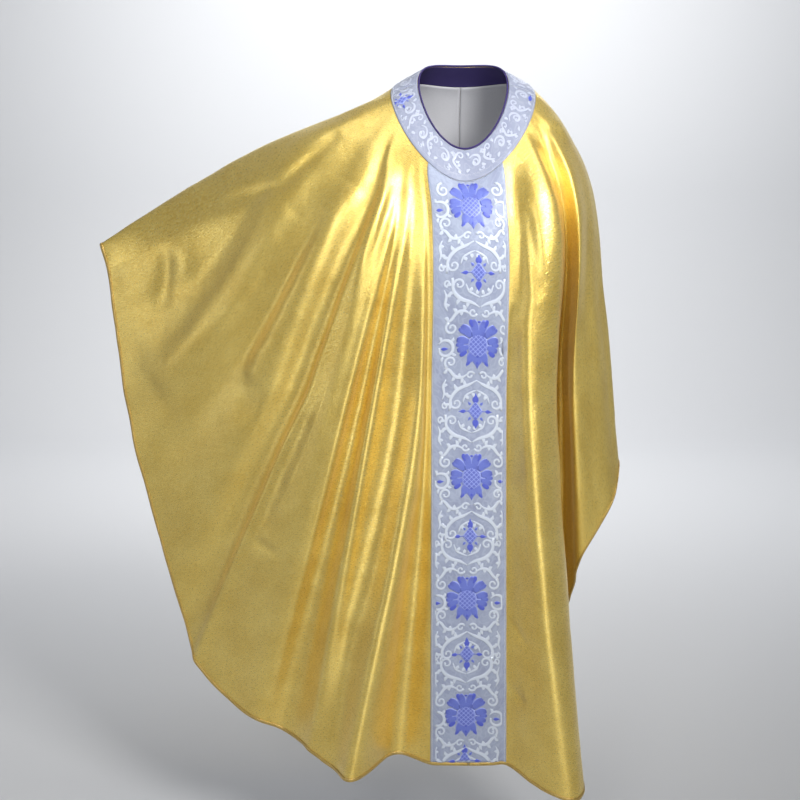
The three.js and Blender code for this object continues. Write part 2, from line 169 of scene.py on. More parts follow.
@dataclass(frozen=True)
class Ripple:
    """Fine unevenness of the cloth: how deep it is, and the size of one ripple each way."""

    depth: float
    size: tuple[float, ...]
    shift: tuple[float, ...] = (0.0, 0.0, 0.0)

    def places(self, *coordinates: np.ndarray) -> list[np.ndarray]:
        """The coordinates in ripples."""
        return [c / size + shift for c, size, shift in zip(coordinates, self.size, self.shift)]


PLEATS = (Ripple(2.6 * MM, (0.062, 1 / 2.2), (0.0, 7.0)), Ripple(1.3 * MM, (0.026, 1 / 3.6), (31.0, 0.0)))
SLACK = Ripple(1.6 * MM, (0.085, 0.085, 0.13))
CRUMPLE = Ripple(0.55 * MM, (0.03, 0.03, 0.038))
CREPE = Ripple(0.16 * MM, (0.011, 0.011, 0.013), (9.0, 0.0, 0.0))


def hermite(
    points: tuple[np.ndarray, ...], knots: tuple[np.ndarray, ...], t: np.ndarray
) -> np.ndarray:
    """Runs one span of a smooth curve.

    Args:
        points: Four rows of points; the span lies between the second and the third.
        knots: The knot spacing before, along and after the span.
        t: How far along the span each point lies, from 0 to 1.

    Returns:
        The points on the curve.
    """
    a, b, c, d = points
    before, along, after = (k[:, None] for k in knots)
    t = t[:, None]
    slope = (c - b) / along
    share_in = before / (before + along)
    share_out = after / (after + along)
    start = ((b - a) / before * (1 - share_in) + slope * share_in) * along
    end = ((d - c) / after * (1 - share_out) + slope * share_out) * along
    result = b * (2 * t**3 - 3 * t**2 + 1) + start * (t**3 - 2 * t**2 + t)
    return result + c * (3 * t**2 - 2 * t**3) + end * (t**3 - t**2)


def smoothstep(low: float, high: float, value: np.ndarray) -> np.ndarray:
    """A smooth rise from 0 at `low` to 1 at `high`."""
    t = np.clip((value - low) / (high - low), 0, 1)
    return t * t * (3 - 2 * t)


class Noise:
    """Smooth seeded noise over two or three coordinates, from about -1 to 1."""

    SIZE = 64

    def __init__(self, seed: int) -> None:
        """Draws the lattice for one seed."""
        self.lattice = np.random.default_rng(seed).uniform(-1, 1, self.SIZE**3)

    def __call__(self, *coordinates: np.ndarray) -> np.ndarray:
        """Samples the noise.

        Args:
            coordinates: Two or three arrays of one shape, in lattice cells.

        Returns:
            The noise at each point.
        """
        cells = [np.floor(c).astype(int) for c in coordinates]
        parts = [c - cell for c, cell in zip(coordinates, cells)]
        parts = [p * p * p * (p * (p * 6 - 15) + 10) for p in parts]
        total = np.zeros_like(coordinates[0])
        for corner in range(2 ** len(cells)):
            weight = np.ones_like(total)
            key = np.zeros_like(cells[0])
            for axis, (cell, part) in enumerate(zip(cells, parts)):
                bit = (corner >> axis) & 1
                weight = weight * (part if bit else 1 - part)
                key = key * self.SIZE + (cell + bit) % self.SIZE
            total += weight * self.lattice[key]
        return total


@dataclass(frozen=True)
class Crease:
    """A ridge or a furrow pressed into the front of the cloth, seen from the front.

    `path` is its line as (x, z) points, `width` its half width and `height` how far it stands
    proud, or lies sunk when negative.
    """

    path: tuple[tuple[float, float], ...]
    width: float
    height: float

    def lift(self, x: np.ndarray, z: np.ndarray) -> np.ndarray:
        """How far the crease lifts the cloth.

        Args:
            x: The points' X.
            z: Their Z.

        Returns:
            The lift at each point, in metres.
        """
        best = np.full(x.shape, 1e9)
        along = np.zeros(x.shape)
        count = len(self.path) - 1
        for index, ((ax, az), (bx, bz)) in enumerate(zip(self.path, self.path[1:])):
            dx, dz = bx - ax, bz - az
            t = np.clip(((x - ax) * dx + (z - az) * dz) / (dx * dx + dz * dz), 0, 1)
            gap = np.hypot(x - ax - t * dx, z - az - t * dz)
            near = gap < best
            best = np.where(near, gap, best)
            along = np.where(near, (index + t) / count, along)
        fade = np.sin(np.pi * np.clip(along, 0, 1)) ** 0.6
        return self.height * np.exp(-((best / self.width) ** 2)) * np.maximum(fade, 0)


class DrapedSurface:
    """The cloth's outer face, by station number round the neck and level down from it."""

    def __init__(self, pattern: Pattern, creases: tuple[Crease, ...]) -> None:
        """Places the stations.

        Args:
            pattern: The garment's sizes.
            creases: Ridges and furrows of the front.
        """
        self.pattern = pattern
        self.creases = creases
        self.start: dict[str, int] = {}
        stations: list[np.ndarray] = []
        back, front = Facing.BACK, Facing.FRONT
        groups = (
            ("back_centre", [self._pillar(s, back) for s in (0, -1 / 3, -2 / 3, -1)]),
            ("back_right", [self._fold(f, Side.RIGHT, back) for f in BACK_RIGHT[::-1]]),
            ("right_shoulder", [self._fold(RIGHT_SHOULDER, Side.RIGHT, front)]),
            ("front_right", [self._fold(f, Side.RIGHT, front) for f in FRONT_RIGHT[::-1]]),
            ("front_pillar", [self._pillar(s / 3, front) for s in range(-3, 4)]),
            ("front_left", [self._fold(f, Side.LEFT, front) for f in FRONT_LEFT]),
            ("left_shoulder", [self._fold(LEFT_SHOULDER, Side.LEFT, front)]),
            ("back_left", [self._fold(f, Side.LEFT, back) for f in BACK_LEFT]),
            ("back_pillar", [self._pillar(s, back) for s in (1, 2 / 3, 1 / 3)]),
        )
        for name, group in groups:
            self.start[name] = len(stations)
            stations.extend(group)
        self.count = len(stations)
        self.right_seam = self.start["right_shoulder"]
        self.front_centre = self.start["front_pillar"] + PILLAR_HALF
        self.left_seam = self.start["left_shoulder"]
        self.knots = np.array(stations)
        self.chords = np.linalg.norm(np.diff(self.knots, axis=1), axis=2)
        hem = self.knots[:, -1]
        steps = np.linalg.norm(np.roll(hem, -1, axis=0) - hem, axis=1)
        self.hem_way = np.concatenate([[0.0], np.cumsum(steps)])
        self.pleats = Noise(11)
        self.slack = Noise(23)
        self.crumple = Noise(37)

    def seams(self) -> tuple[int, ...]:
        """The stations of the seams, from the centre back by the wearer's right and round again."""
        return 0, self.right_seam, self.front_centre, self.left_seam, self.count

    def centre(self, facing: Facing) -> int:
        """The station at the middle of one half."""
        return self.front_centre if facing is Facing.FRONT else self.count

    def quarter(self, facing: Facing, side: Side) -> tuple[int, int]:
        """Finds where one panel starts and ends.

        Args:
            facing: The half it is in.
            side: Its side.

        Returns:
            Its first and last station.
        """
        order = ((Facing.BACK, Side.RIGHT), (Facing.FRONT, Side.RIGHT),
                 (Facing.FRONT, Side.LEFT), (Facing.BACK, Side.LEFT))
        first = order.index((facing, side))
        return self.seams()[first], self.seams()[first + 1]

    def half(self, facing: Facing) -> tuple[int, int]:
        """Finds where one half starts and ends, from shoulder seam to shoulder seam.

        Args:
            facing: Which half.

        Returns:
            Its first and last station.
        """
        if facing is Facing.FRONT:
            return self.right_seam, self.left_seam
        return self.left_seam, self.count + self.right_seam

    def neck(self, angle: float) -> np.ndarray:
        """The neck edge at a ring angle.

        Args:
            angle: The angle, 0 at the throat and a quarter turn at the left shoulder.

        Returns:
            The point.
        """
        p = self.pattern
        forward = math.cos(angle)
        reach = p.neck_front if forward > 0 else p.neck_back
        slope = (p.throat_drop + p.nape_rise) / 2
        bow = (p.throat_drop - p.nape_rise) / 2
        level = p.neck_side_level - slope * forward - bow * forward**2
        return np.array([p.neck_half_width * math.sin(angle), -reach * forward, level])

    def band(self, angle: float) -> np.ndarray:
        """The neck band's outer edge at a ring angle.

        Args:
            angle: The angle, as for the neck edge.

        Returns:
            The point.
        """
        p = self.pattern
        forward = math.cos(angle)
        slope = math.radians(21 + (42 if forward > 0 else 20) * forward**2)
        width = p.band_width + p.band_front_extra * max(forward, 0) ** 2
        depth = p.neck_front if forward > 0 else p.neck_back
        out = np.array([math.sin(angle) * depth, -forward * p.neck_half_width, 0.0])
        out *= width * math.cos(slope) / np.linalg.norm(out)
        out[2] = -width * math.sin(slope)
        return self.neck(angle) + out

    def _edge_angle(self) -> float:
        """Finds where the band's edge meets the orphrey's edge.

        Returns:
            The ring angle.
        """
        low, high = 0.0, math.pi / 2
        for _ in range(40):
            middle = (low + high) / 2
            if self.band(middle)[0] < self.pattern.orphrey_width / 2:
                low = middle
            else:
                high = middle
        return (low + high) / 2

    def _pillar_edge(self, sign: float, facing: Facing, level: int) -> float:
        """The orphrey's edge at one level.

        Args:
            sign: -1 for the wearer's right edge, 1 for the left.
            facing: The half.
            level: 0 at the chest, 1 at the waist, 2 at the hem.

        Returns:
            Its X.
        """
        p = self.pattern
        lean = p.lean[level] if facing is Facing.FRONT else 0.0
        return sign * (p.orphrey_width + p.orphrey_flare * FLARE_SHARES[level]) / 2 + lean

    def _fold(self, fold: Fold, side: Side, facing: Facing) -> np.ndarray:
        """Works out a fold's station.

        Args:
            fold: The fold.
            side: The side of the garment it is on.
            facing: The half it is on.

        Returns:
            Its five points, from the neck edge down.
        """
        p = self.pattern
        back = facing is Facing.BACK
        sign = side.value
        reach = p.wing_reach if side is Side.RIGHT else p.arm_reach
        depth = p.back_depth if back else -p.chest_depth
        edge_angle = self._edge_angle()
        turn = edge_angle + (math.pi / 2 - edge_angle) * fold.ring / 100
        angle = sign * (math.pi - turn if back else turn)
        rows = [self.neck(angle), self.band(angle)]
        for level, (out, deep, down) in enumerate((fold.chest, fold.waist, fold.hem)):
            edge = sign * self._pillar_edge(sign, facing, level)
            x = sign * (edge + (reach - edge) * out / 100)
            rows.append(np.array([x, depth * deep / 100, -p.length * down / 100]))
        return np.array(rows)

    def _pillar(self, share: float, facing: Facing) -> np.ndarray:
        """Works out a station under an orphrey.

        Args:
            share: Its place across, from -1 to 1.
            facing: The half it is on.

        Returns:
            Its five points, from the neck edge down.
        """
        p = self.pattern
        back = facing is Facing.BACK
        depth = p.back_depth if back else -p.chest_depth
        turn = share * self._edge_angle()
        angle = math.pi - turn if back else turn
        rows = [self.neck(angle), self.band(angle)]
        deep, down = (p.back_deep, p.back_down) if back else (p.front_deep, p.front_down)
        for level in range(CHEST_TO_HEM):
            low = self._pillar_edge(-1, facing, level)
            high = self._pillar_edge(1, facing, level)
            x = low + (high - low) * (share + 1) / 2
            y = depth * (1 + 0.02 * (1 - share**2)) * deep[level] / 100
            rows.append(np.array([x, y, -p.length * down[level] / 100]))
        return np.array(rows)

    def _station(self, index: np.ndarray, level: np.ndarray) -> np.ndarray:
        """Finds points on whole stations.

        Args:
            index: The stations' numbers.
            level: The level of each point.

        Returns:
            The points.
        """
        points = self.knots[index % self.count]
        chords = self.chords[index % self.count]
        below = (level - BAND_LEVEL) / (1 - BAND_LEVEL)
        upper = chords[:, 0] * level / BAND_LEVEL
        way = np.where(below < 0, upper, chords[:, 0] + chords[:, 1:].sum(axis=1) * below)
        ends = np.cumsum(chords, axis=1)
        span = (way[:, None] > ends[:, :3]).sum(axis=1)
        rows = np.arange(len(level))
        began = np.concatenate([np.zeros((len(level), 1)), ends], axis=1)[rows, span]
        first = 2 * points[:, :1] - points[:, 1:2]
        last = 2 * points[:, 4:] - points[:, 3:4]
        points = np.concatenate([first, points, last], axis=1)
        spans = np.concatenate([chords[:, :1], chords, chords[:, 3:]], axis=1)
        four = tuple(points[rows, span + i] for i in range(4))
        three = tuple(spans[rows, span + i] for i in range(3))
        return hermite(four, three, (way - began) / three[1])

    def base(self, u: np.ndarray, level: np.ndarray) -> np.ndarray:
        """The surface before any crease.

        Args:
            u: Station numbers, whole or between.
            level: Levels, 0 at the neck edge and 1 at the hem.

        Returns:
            The points, in an array with one more axis than `u`.
        """
        shape = u.shape
        u, level = u.ravel(), level.ravel()
        index = np.floor(u).astype(int)
        four = tuple(self._station(index + step, level) for step in (-1, 0, 1, 2))
        three = tuple(np.sqrt(np.linalg.norm(q - p, axis=1)) for p, q in zip(four, four[1:]))
        return hermite(four, three, u - index).reshape(*shape, 3)

    def flat(self, u: np.ndarray, level: np.ndarray) -> np.ndarray:
        """Where points lie on the cut cloth, laid flat.

        Args:
            u: Station numbers.
            level: Levels.

        Returns:
            Each point's place across and down, in metres.
        """
        way = np.interp(u % self.count, np.arange(self.count + 1), self.hem_way)
        marks = self.hem_way[list(self.seams())]
        angle = np.interp(way, marks, np.radians([180, 270, 360, 450, 540]))
        body = self.chords[:, 1:].sum(axis=1)
        body = np.interp(u % self.count, np.arange(self.count + 1), np.append(body, body[0]))
        way_down = 0.10 + body * np.clip(level - BAND_LEVEL, -0.05, 1) / (1 - BAND_LEVEL)
        return np.stack([way_down * np.sin(angle), -way_down * np.cos(angle)], axis=-1)

    def lift(
        self, u: np.ndarray, level: np.ndarray, points: np.ndarray, front: np.ndarray
    ) -> np.ndarray:
        """How far the fine folds stand off the base surface.

        Args:
            u: Station numbers.
            level: Levels.
            points: The base points.
            front: 1 where the cloth faces the front, else 0.

        Returns:
            The lift along the outward normal, in metres.
        """
        way = np.interp(u % self.count, np.arange(self.count + 1), self.hem_way)
        turn = np.minimum(u % self.count, self.count - u % self.count)
        free = smoothstep(BAND_LEVEL, 0.13, level)
        pillar = np.zeros(u.shape)
        for centre in (0, self.front_centre, self.count):
            pillar = np.maximum(pillar, 1 - smoothstep(2.6, 3.8, np.abs(u % self.count - centre)))
        loose = free * (1 - 0.8 * pillar)
        x, y, z = (points[..., i] for i in range(3))
        pleat = loose * smoothstep(0.0, 0.8, turn) * smoothstep(0.08, 0.6, level)
        steps = np.linalg.norm(np.gradient(points, axis=1), axis=2)
        pleat = pleat * np.clip(steps / (np.abs(np.gradient(way, axis=1)) + 1e-6), 0, 1) ** 1.6
        total = sum(r.depth * pleat * self.pleats(*r.places(way, level)) for r in PLEATS)
        total = total + SLACK.depth * loose * self.slack(*SLACK.places(x, y, z))
        total = total + CRUMPLE.depth * (0.35 + 0.65 * loose) * self.crumple(*CRUMPLE.places(x, y, z))
        total = total + CREPE.depth * self.crumple(*CREPE.places(x, y, z))
        for crease in self.creases:
            total = total + crease.lift(x, z) * front * free * (1 - 0.85 * pillar)
        return total


# ---- Cloth ------------------------------------------------------------------------------------


def mesh_object(
    name: str, vertices: np.ndarray, faces: list, uv: np.ndarray | None = None
) -> bpy.types.Object:
    """Makes an object at the origin from vertices and faces.

    Args:
        name: The piece's name.
        vertices: The vertices, in metres.
        faces: Faces as lists of vertex numbers, facing out.
        uv: The place of each vertex on the flat cloth, for the UV map named cloth.

    Returns:
        The object, linked to the scene.
    """
    mesh = bpy.data.meshes.new(name)
    mesh.from_pydata(vertices.tolist(), [], faces)
    mesh.shade_smooth()
    if uv is not None:
        layer = mesh.uv_layers.new(name="cloth")
        corners = np.empty(len(mesh.loops), dtype=np.int32)
        mesh.loops.foreach_get("vertex_index", corners)
        layer.data.foreach_set("uv", uv[corners].astype(np.float32).ravel())
    mesh.validate()
    piece = bpy.data.objects.new(name, mesh)
    bpy.context.scene.collection.objects.link(piece)
    return piece


def face_out(piece: bpy.types.Object) -> bpy.types.Object:
    """Turns a closed piece's faces outwards.

    Args:
        piece: The piece.

    Returns:
        The same piece.
    """
    bpy.ops.object.select_all(action="DESELECT")
    piece.select_set(True)
    bpy.context.view_layer.objects.active = piece
    bpy.ops.object.mode_set(mode="EDIT")
    bpy.ops.mesh.select_all(action="SELECT")
    bpy.ops.mesh.normals_make_consistent(inside=False)
    bpy.ops.object.mode_set(mode="OBJECT")
    return piece


class Grain(Enum):
    """How a piece was cut: on the panels' straight grain, or as a strip along its own length."""

    PANEL = "panel"
    STRIP = "strip"


@dataclass(frozen=True)
class Area:
    """A part of the draped surface.

    `across` is the first and last station number; `top` and `bottom` are the first and last
    level. `clear` is how far the last row stops above `bottom`, in metres.
    """

    across: tuple[float, float]
    top: float
    bottom: float = 1.0
    clear: float = 0.0
    inset: float = 0.0002
    grain: Grain = Grain.PANEL


@dataclass(frozen=True)
class Layer:
    """The heights of a layer's outer and inner faces over the draped surface, in metres."""

    outer: float
    inner: float


SHELL = Layer(0.0, -0.8 * MM)
LINING = Layer(-1.1 * MM, -1.7 * MM)
INTERFACING = Layer(0.9 * MM, 0.3 * MM)
BROCADE = Layer(2.2 * MM, 1.2 * MM)
BROCADE_ROUNDING = 0.7 * MM
SOFT_EDGE = 3.5 * MM


class Cloth:
    """An area of the draped surface, sampled on a grid of rows down and columns across."""

    GHOSTS = 4
    EASING = 3
    HEM_PROBE = (0.97, 1.0)

    def __init__(self, surface: DrapedSurface, area: Area, columns: int, rows: int) -> None:
        """Samples the surface and its outward normals.

        Args:
            surface: The draped surface.
            area: The part of it to sample.
            columns: How many columns.
            rows: How many rows.
        """
        self.area = area
        first, last = area.across
        if area.grain is Grain.PANEL:
            count = surface.count
            numbers = np.arange(count + 1)
            low, high = (np.interp(n, numbers, surface.hem_way) for n in area.across)
            even = np.interp(np.linspace(low, high, columns), surface.hem_way, numbers)
            us = 0.7 * even + 0.3 * np.linspace(first, last, columns)
        else:
            us = np.linspace(first, last, columns)
        before, after = us[1] - us[0], us[-1] - us[-2]
        ghosts = np.arange(1, self.GHOSTS + 1)
        us = np.concatenate([first - before * ghosts[::-1], us, last + after * ghosts])
        probe = [surface.base(us, np.full(us.shape, level)) for level in self.HEM_PROBE]
        length = np.linalg.norm(probe[1] - probe[0], axis=1) / (self.HEM_PROBE[1] - self.HEM_PROBE[0])
        bottom = area.bottom - area.clear / length
        share = np.linspace(0, 1, rows)[:, None]
        level = area.top + (bottom - area.top)[None] * share
        u = np.broadcast_to(us, level.shape)
        base = surface.base(u, level)
        normal = self._normals(base)
        front = smoothstep(0.0, 0.35, -normal[..., 1])
        lifted = base + normal * surface.lift(u, level, base, front)[..., None]
        self._ease(lifted)
        normal = self._normals(lifted)
        self._ease(normal)
        normal /= np.linalg.norm(normal, axis=2, keepdims=True)
        keep = slice(self.GHOSTS, self.GHOSTS + columns)
        self.u, self.level = u[:, keep], level[:, keep]
        self.points = lifted[:, keep].copy()
        self.normals = normal[:, keep]
        sideways = np.gradient(self.points, axis=1)
        sideways /= np.linalg.norm(sideways, axis=2, keepdims=True)
        self.sideways = sideways
        self.points[:, 0] += sideways[:, 0] * area.inset
        self.points[:, -1] -= sideways[:, -1] * area.inset
        self._measure()
        strip = np.stack([np.broadcast_to(self.across, self.level.shape), -self.down], axis=-1)
        self.uv = strip if area.grain is Grain.STRIP else surface.flat(self.u, self.level)

    def _measure(self) -> None:
        """Measures lengths over the cloth: along the middle row, and down each column."""
        middle = self.points[len(self.points) // 2]
        steps = np.linalg.norm(np.diff(middle, axis=0), axis=1)
        self.across = np.concatenate([[0.0], np.cumsum(steps)])
        self.begin = np.zeros(len(middle))
        steps = np.linalg.norm(np.diff(self.points, axis=0), axis=2)
        self.down = np.concatenate([np.zeros((1, steps.shape[1])), np.cumsum(steps, axis=0)])

    def centre_on(self, u: float, straight: bool = False) -> None:
        """Measures across from the column at station `u`.

        Args:
            u: The station.
            straight: Whether patterns run level across the cloth, not along its first row.
        """
        self.across = self.across - np.interp(u, self.u[0], self.across)
        if straight:
            middle = self.points[0, int(np.argmin(np.abs(self.across))), 2]
            lines = zip(self.points[..., 2].T, self.down.T)
            self.begin = np.array([np.interp(-middle, -z, down) for z, down in lines])
        self.uv = np.stack([np.broadcast_to(self.across, self.level.shape), -self.down], axis=-1)

    def down_at(self, z: float) -> float:
        """Finds a height on the cloth's centre line.

        Args:
            z: The height.

        Returns:
            Its distance down the line, in metres.
        """
        column = int(np.argmin(np.abs(self.across)))
        line = self.points[:, column, 2]
        return float(np.interp(-z, -line, self.down[:, column]))

    def pin(self, s: np.ndarray, t: np.ndarray, height: np.ndarray) -> np.ndarray:
        """Puts a flat pattern on the cloth.

        Args:
            s: Metres across from the cloth's centre line.
            t: Metres down from its first row.
            height: Metres above the cloth's face.

        Returns:
            The points.
        """
        columns = self.points.shape[1]
        across = np.interp(s, self.across, np.linspace(0, 1, columns))
        column = across * (columns - 1)
        length = np.interp(column, np.arange(columns), self.down[-1])
        begin = np.interp(column, np.arange(columns), self.begin)
        return self.place(across, (t + begin) / length, height)

    def area_flat(self) -> float:
        """Adds the cloth's area up.

        Returns:
            The area, in square metres.
        """
        a, b = self.points[:-1, :-1], self.points[1:, :-1]
        c, d = self.points[1:, 1:], self.points[:-1, 1:]
        halves = np.cross(b - a, c - a), np.cross(c - a, d - a)
        return float(sum(np.linalg.norm(h, axis=2).sum() for h in halves) / 2)

    def _ease(self, grid: np.ndarray) -> None:
        """Rounds off sharp crests between a grid's columns, so that no inner layer comes through."""
        for _ in range(self.EASING):
            grid[:, 1:-1] = (grid[:, :-2] + 2 * grid[:, 1:-1] + grid[:, 2:]) / 4

    @staticmethod
    def _normals(points: np.ndarray) -> np.ndarray:
        """Finds the outward unit normals of a grid.

        Args:
            points: The grid of points.

        Returns:
            A normal for each.
        """
        down, across = np.gradient(points, axis=(0, 1))
        normal = np.cross(down, across)
        return normal / np.linalg.norm(normal, axis=2, keepdims=True)

    def place(self, across: np.ndarray, down: np.ndarray, height: np.ndarray) -> np.ndarray:
        """Puts points on the cloth.

        Args:
            across: From 0 at the first column to 1 at the last.
            down: From 0 at the first row to 1 at the last.
            height: Metres above the cloth's face.

        Returns:
            The points.
        """
        rows, columns = self.points.shape[:2]
        x = np.clip(across, 0, 1) * (columns - 1)
        y = np.clip(down, 0, 1) * (rows - 1)
        c = np.minimum(x.astype(int), columns - 2)
        r = np.minimum(y.astype(int), rows - 2)
        fx, fy = (x - c)[:, None], (y - r)[:, None]

        def blend(grid: np.ndarray) -> np.ndarray:
            """Reads a value between the four nearest samples.

            Args:
                grid: The samples.

            Returns:
                The value, for each place asked for.
            """
            upper = grid[r, c] * (1 - fx) + grid[r, c + 1] * fx
            lower = grid[r + 1, c] * (1 - fx) + grid[r + 1, c + 1] * fx
            return upper * (1 - fy) + lower * fy

        return blend(self.points) + blend(self.normals) * height[:, None]

    def sheet(self, name: str, layer: Layer, every: int = 1, soft: float = 0.0) -> bpy.types.Object:
        """A closed sheet of one layer of cloth.

        Args:
            name: The piece's name.
            layer: The heights of its faces.
            every: Uses one row in this many.
            soft: How far the outer face rounds off towards its edges.

        Returns:
            The sheet's object.
        """
        pick = sorted({*range(0, len(self.points), every), len(self.points) - 1})
        points, normals, flat = self.points[pick], self.normals[pick], self.uv[pick]
        rows, columns = points.shape[:2]
        rise = np.full((rows, columns, 1), layer.outer)
        if soft:
            near = np.minimum(self.across - self.across[0], self.across[-1] - self.across)[None]
            near = np.minimum(near, np.minimum(self.down, self.down[-1:] - self.down)[pick])
            rise -= soft * (1 - smoothstep(0.0, SOFT_EDGE, near))[..., None]
        grids = [points + normals * height for height in (rise, layer.inner)]
        vertices = np.concatenate([grid.reshape(-1, 3) for grid in grids])
        number = np.arange(2 * rows * columns).reshape(2, rows, columns)
        top, bottom = number

        def quads(a: np.ndarray, b: np.ndarray, c: np.ndarray, d: np.ndarray) -> np.ndarray:
            """Four grids of corners as one list of faces."""
            return np.stack([a.ravel(), b.ravel(), c.ravel(), d.ravel()], axis=1)

        faces = np.concatenate([
            quads(top[:-1, :-1], top[1:, :-1], top[1:, 1:], top[:-1, 1:]),
            quads(bottom[:-1, :-1], bottom[:-1, 1:], bottom[1:, 1:], bottom[1:, :-1]),
            quads(top[:-1, 0], bottom[:-1, 0], bottom[1:, 0], top[1:, 0]),
            quads(top[:-1, -1], top[1:, -1], bottom[1:, -1], bottom[:-1, -1]),
            quads(top[0, :-1], top[0, 1:], bottom[0, 1:], bottom[0, :-1]),
            quads(top[-1, :-1], bottom[-1, :-1], bottom[-1, 1:], top[-1, 1:]),
        ])
        uv = np.concatenate([flat.reshape(-1, 2)] * 2)
        return mesh_object(name, vertices, faces.tolist(), uv)


# ---- Woven figures ----------------------------------------------------------------------------

Path = tuple[tuple[float, float], ...]


@dataclass(frozen=True)
class Stroke:
    """A raised patch of thread: a spine, in millimetres, with a half width along it.

    `tone` picks the thread's colour, from 0 to 1.
    """

    path: Path
    widths: tuple[float, ...]
    tone: float = 0.0
    height: float = 0.45
    steps: int = 12
    FINEST: ClassVar[float] = 0.12

    def moved(
        self, s: float, t: float, scale: float = 1.0, mirror: bool = False, flip: bool = False
    ) -> "Stroke":
        """A copy of the stroke.

        Args:
            s: Move across, in millimetres.
            t: Move down, in millimetres.
            scale: Scale about the origin first.
            mirror: Turn it left to right first.
            flip: Turn it top to bottom first.

        Returns:
            The copy.
        """
        across, down = (-scale if mirror else scale), (-scale if flip else scale)
        path = tuple((x * across + s, y * down + t) for x, y in self.path)
        return replace(self, path=path, widths=tuple(w * scale for w in self.widths))

    def outline(self) -> tuple[np.ndarray, np.ndarray, np.ndarray]:
        """Samples the stroke.

        Returns:
            The spine, its side direction, and the half widths.
        """
        points = np.array(self.path, dtype=float)
        points = np.concatenate([[2 * points[0] - points[1]], points, [2 * points[-1] - points[-2]]])
        t = np.linspace(0, len(points) - 3 - 1e-6, self.steps)
        index = np.floor(t).astype(int)
        f = (t - index)[:, None]
        a, b, c, d = (points[index + i] for i in range(4))
        bend, twist = 2 * a - 5 * b + 4 * c - d, 3 * b - a - 3 * c + d
        spine = 0.5 * (2 * b + (c - a) * f + bend * f**2 + twist * f**3)
        run = np.gradient(spine, axis=0)
        run /= np.linalg.norm(run, axis=1, keepdims=True)
        share = np.linspace(0, len(self.widths) - 1, self.steps)
        width = np.maximum(np.interp(share, np.arange(len(self.widths)), self.widths), self.FINEST)
        return spine, np.stack([-run[:, 1], run[:, 0]], axis=1), width


def spiral(s: float, t: float, radius: float, start: float, turns: float, wind: float = 0.78) -> Path:
    """A curl winding in towards its eye.

    Args:
        s: The eye, across.
        t: The eye, down.
        radius: Radius where it starts.
        start: Angle where it starts, in degrees.
        turns: Turns, negative to wind the other way.
        wind: How far in it winds, as a share of the radius.

    Returns:
        The spine.
    """
    count = max(6, int(abs(turns) * 9))
    path = []
    for i in range(count + 1):
        share = i / count
        angle = math.radians(start + 360 * turns * share)
        reach = radius * (1 - wind * share)
        path.append((s + reach * math.cos(angle), t + reach * math.sin(angle)))
    return tuple(path)


# The tones of thread.
SCROLL, PETAL, LATTICE, DEEP = 0.0, 0.3, 0.6, 1.0


def petal(
    angle: float, near: float, far: float, half: float, tone: float = PETAL, bend: float = 0.0
) -> Stroke:
    """A pointed petal out from a motif's centre.

    Args:
        angle: Where it points, in degrees, 0 up and positive to the right.
        near: How far out it starts.
        far: How far out it ends.
        half: Its half width.
        tone: Its thread's tone.
        bend: How far its middle is bent aside.

    Returns:
        The petal.
    """
    out = math.radians(angle)
    side = math.radians(angle + 90)
    spine = []
    for share in (0.0, 0.5, 1.0):
        reach = near + (far - near) * share
        off = bend * math.sin(math.pi * share)
        across = reach * math.sin(out) + off * math.sin(side)
        spine.append((across, -reach * math.cos(out) - off * math.cos(side)))
    return Stroke(tuple(spine), (half * 0.75, half, half * 0.9, half * 0.35, 0.1), tone)


def lobe(angle: float, near: float, far: float, half: float, tone: float = PETAL) -> Stroke:
    """A blunt petal, broadest near its tip, given as a pointed one is."""
    widths = (half * 0.55, half * 0.8, half, half * 0.92, half * 0.45)
    return replace(petal(angle, near, far, half, tone), widths=widths, steps=10)


def round_patch(s: float, t: float, across: float, down: float, tone: float = DEEP) -> Stroke:
    """An oval patch.

    Args:
        s: Its centre across.
        t: Its centre down.
        across: Its half width.
        down: Its half height.
        tone: Its thread's tone.

    Returns:
        The patch.
    """
    count = 9
    shares = [i / (count - 1) * 2 - 1 for i in range(count)]
    widths = tuple(across * math.sqrt(max(1 - v * v, 0)) for v in shares)
    return Stroke(((s, t - down), (s, t), (s, t + down)), widths, tone, 0.6, 14)


def bolder(strokes: tuple[Stroke, ...], factor: float) -> tuple[Stroke, ...]:
    """The strokes, wider."""
    return tuple(replace(s, widths=tuple(w * factor for w in s.widths)) for s in strokes)


def both(strokes: tuple[Stroke, ...]) -> tuple[Stroke, ...]:
    """The strokes with their mirror images."""
    return strokes + tuple(s.moved(0, 0, mirror=True) for s in strokes)


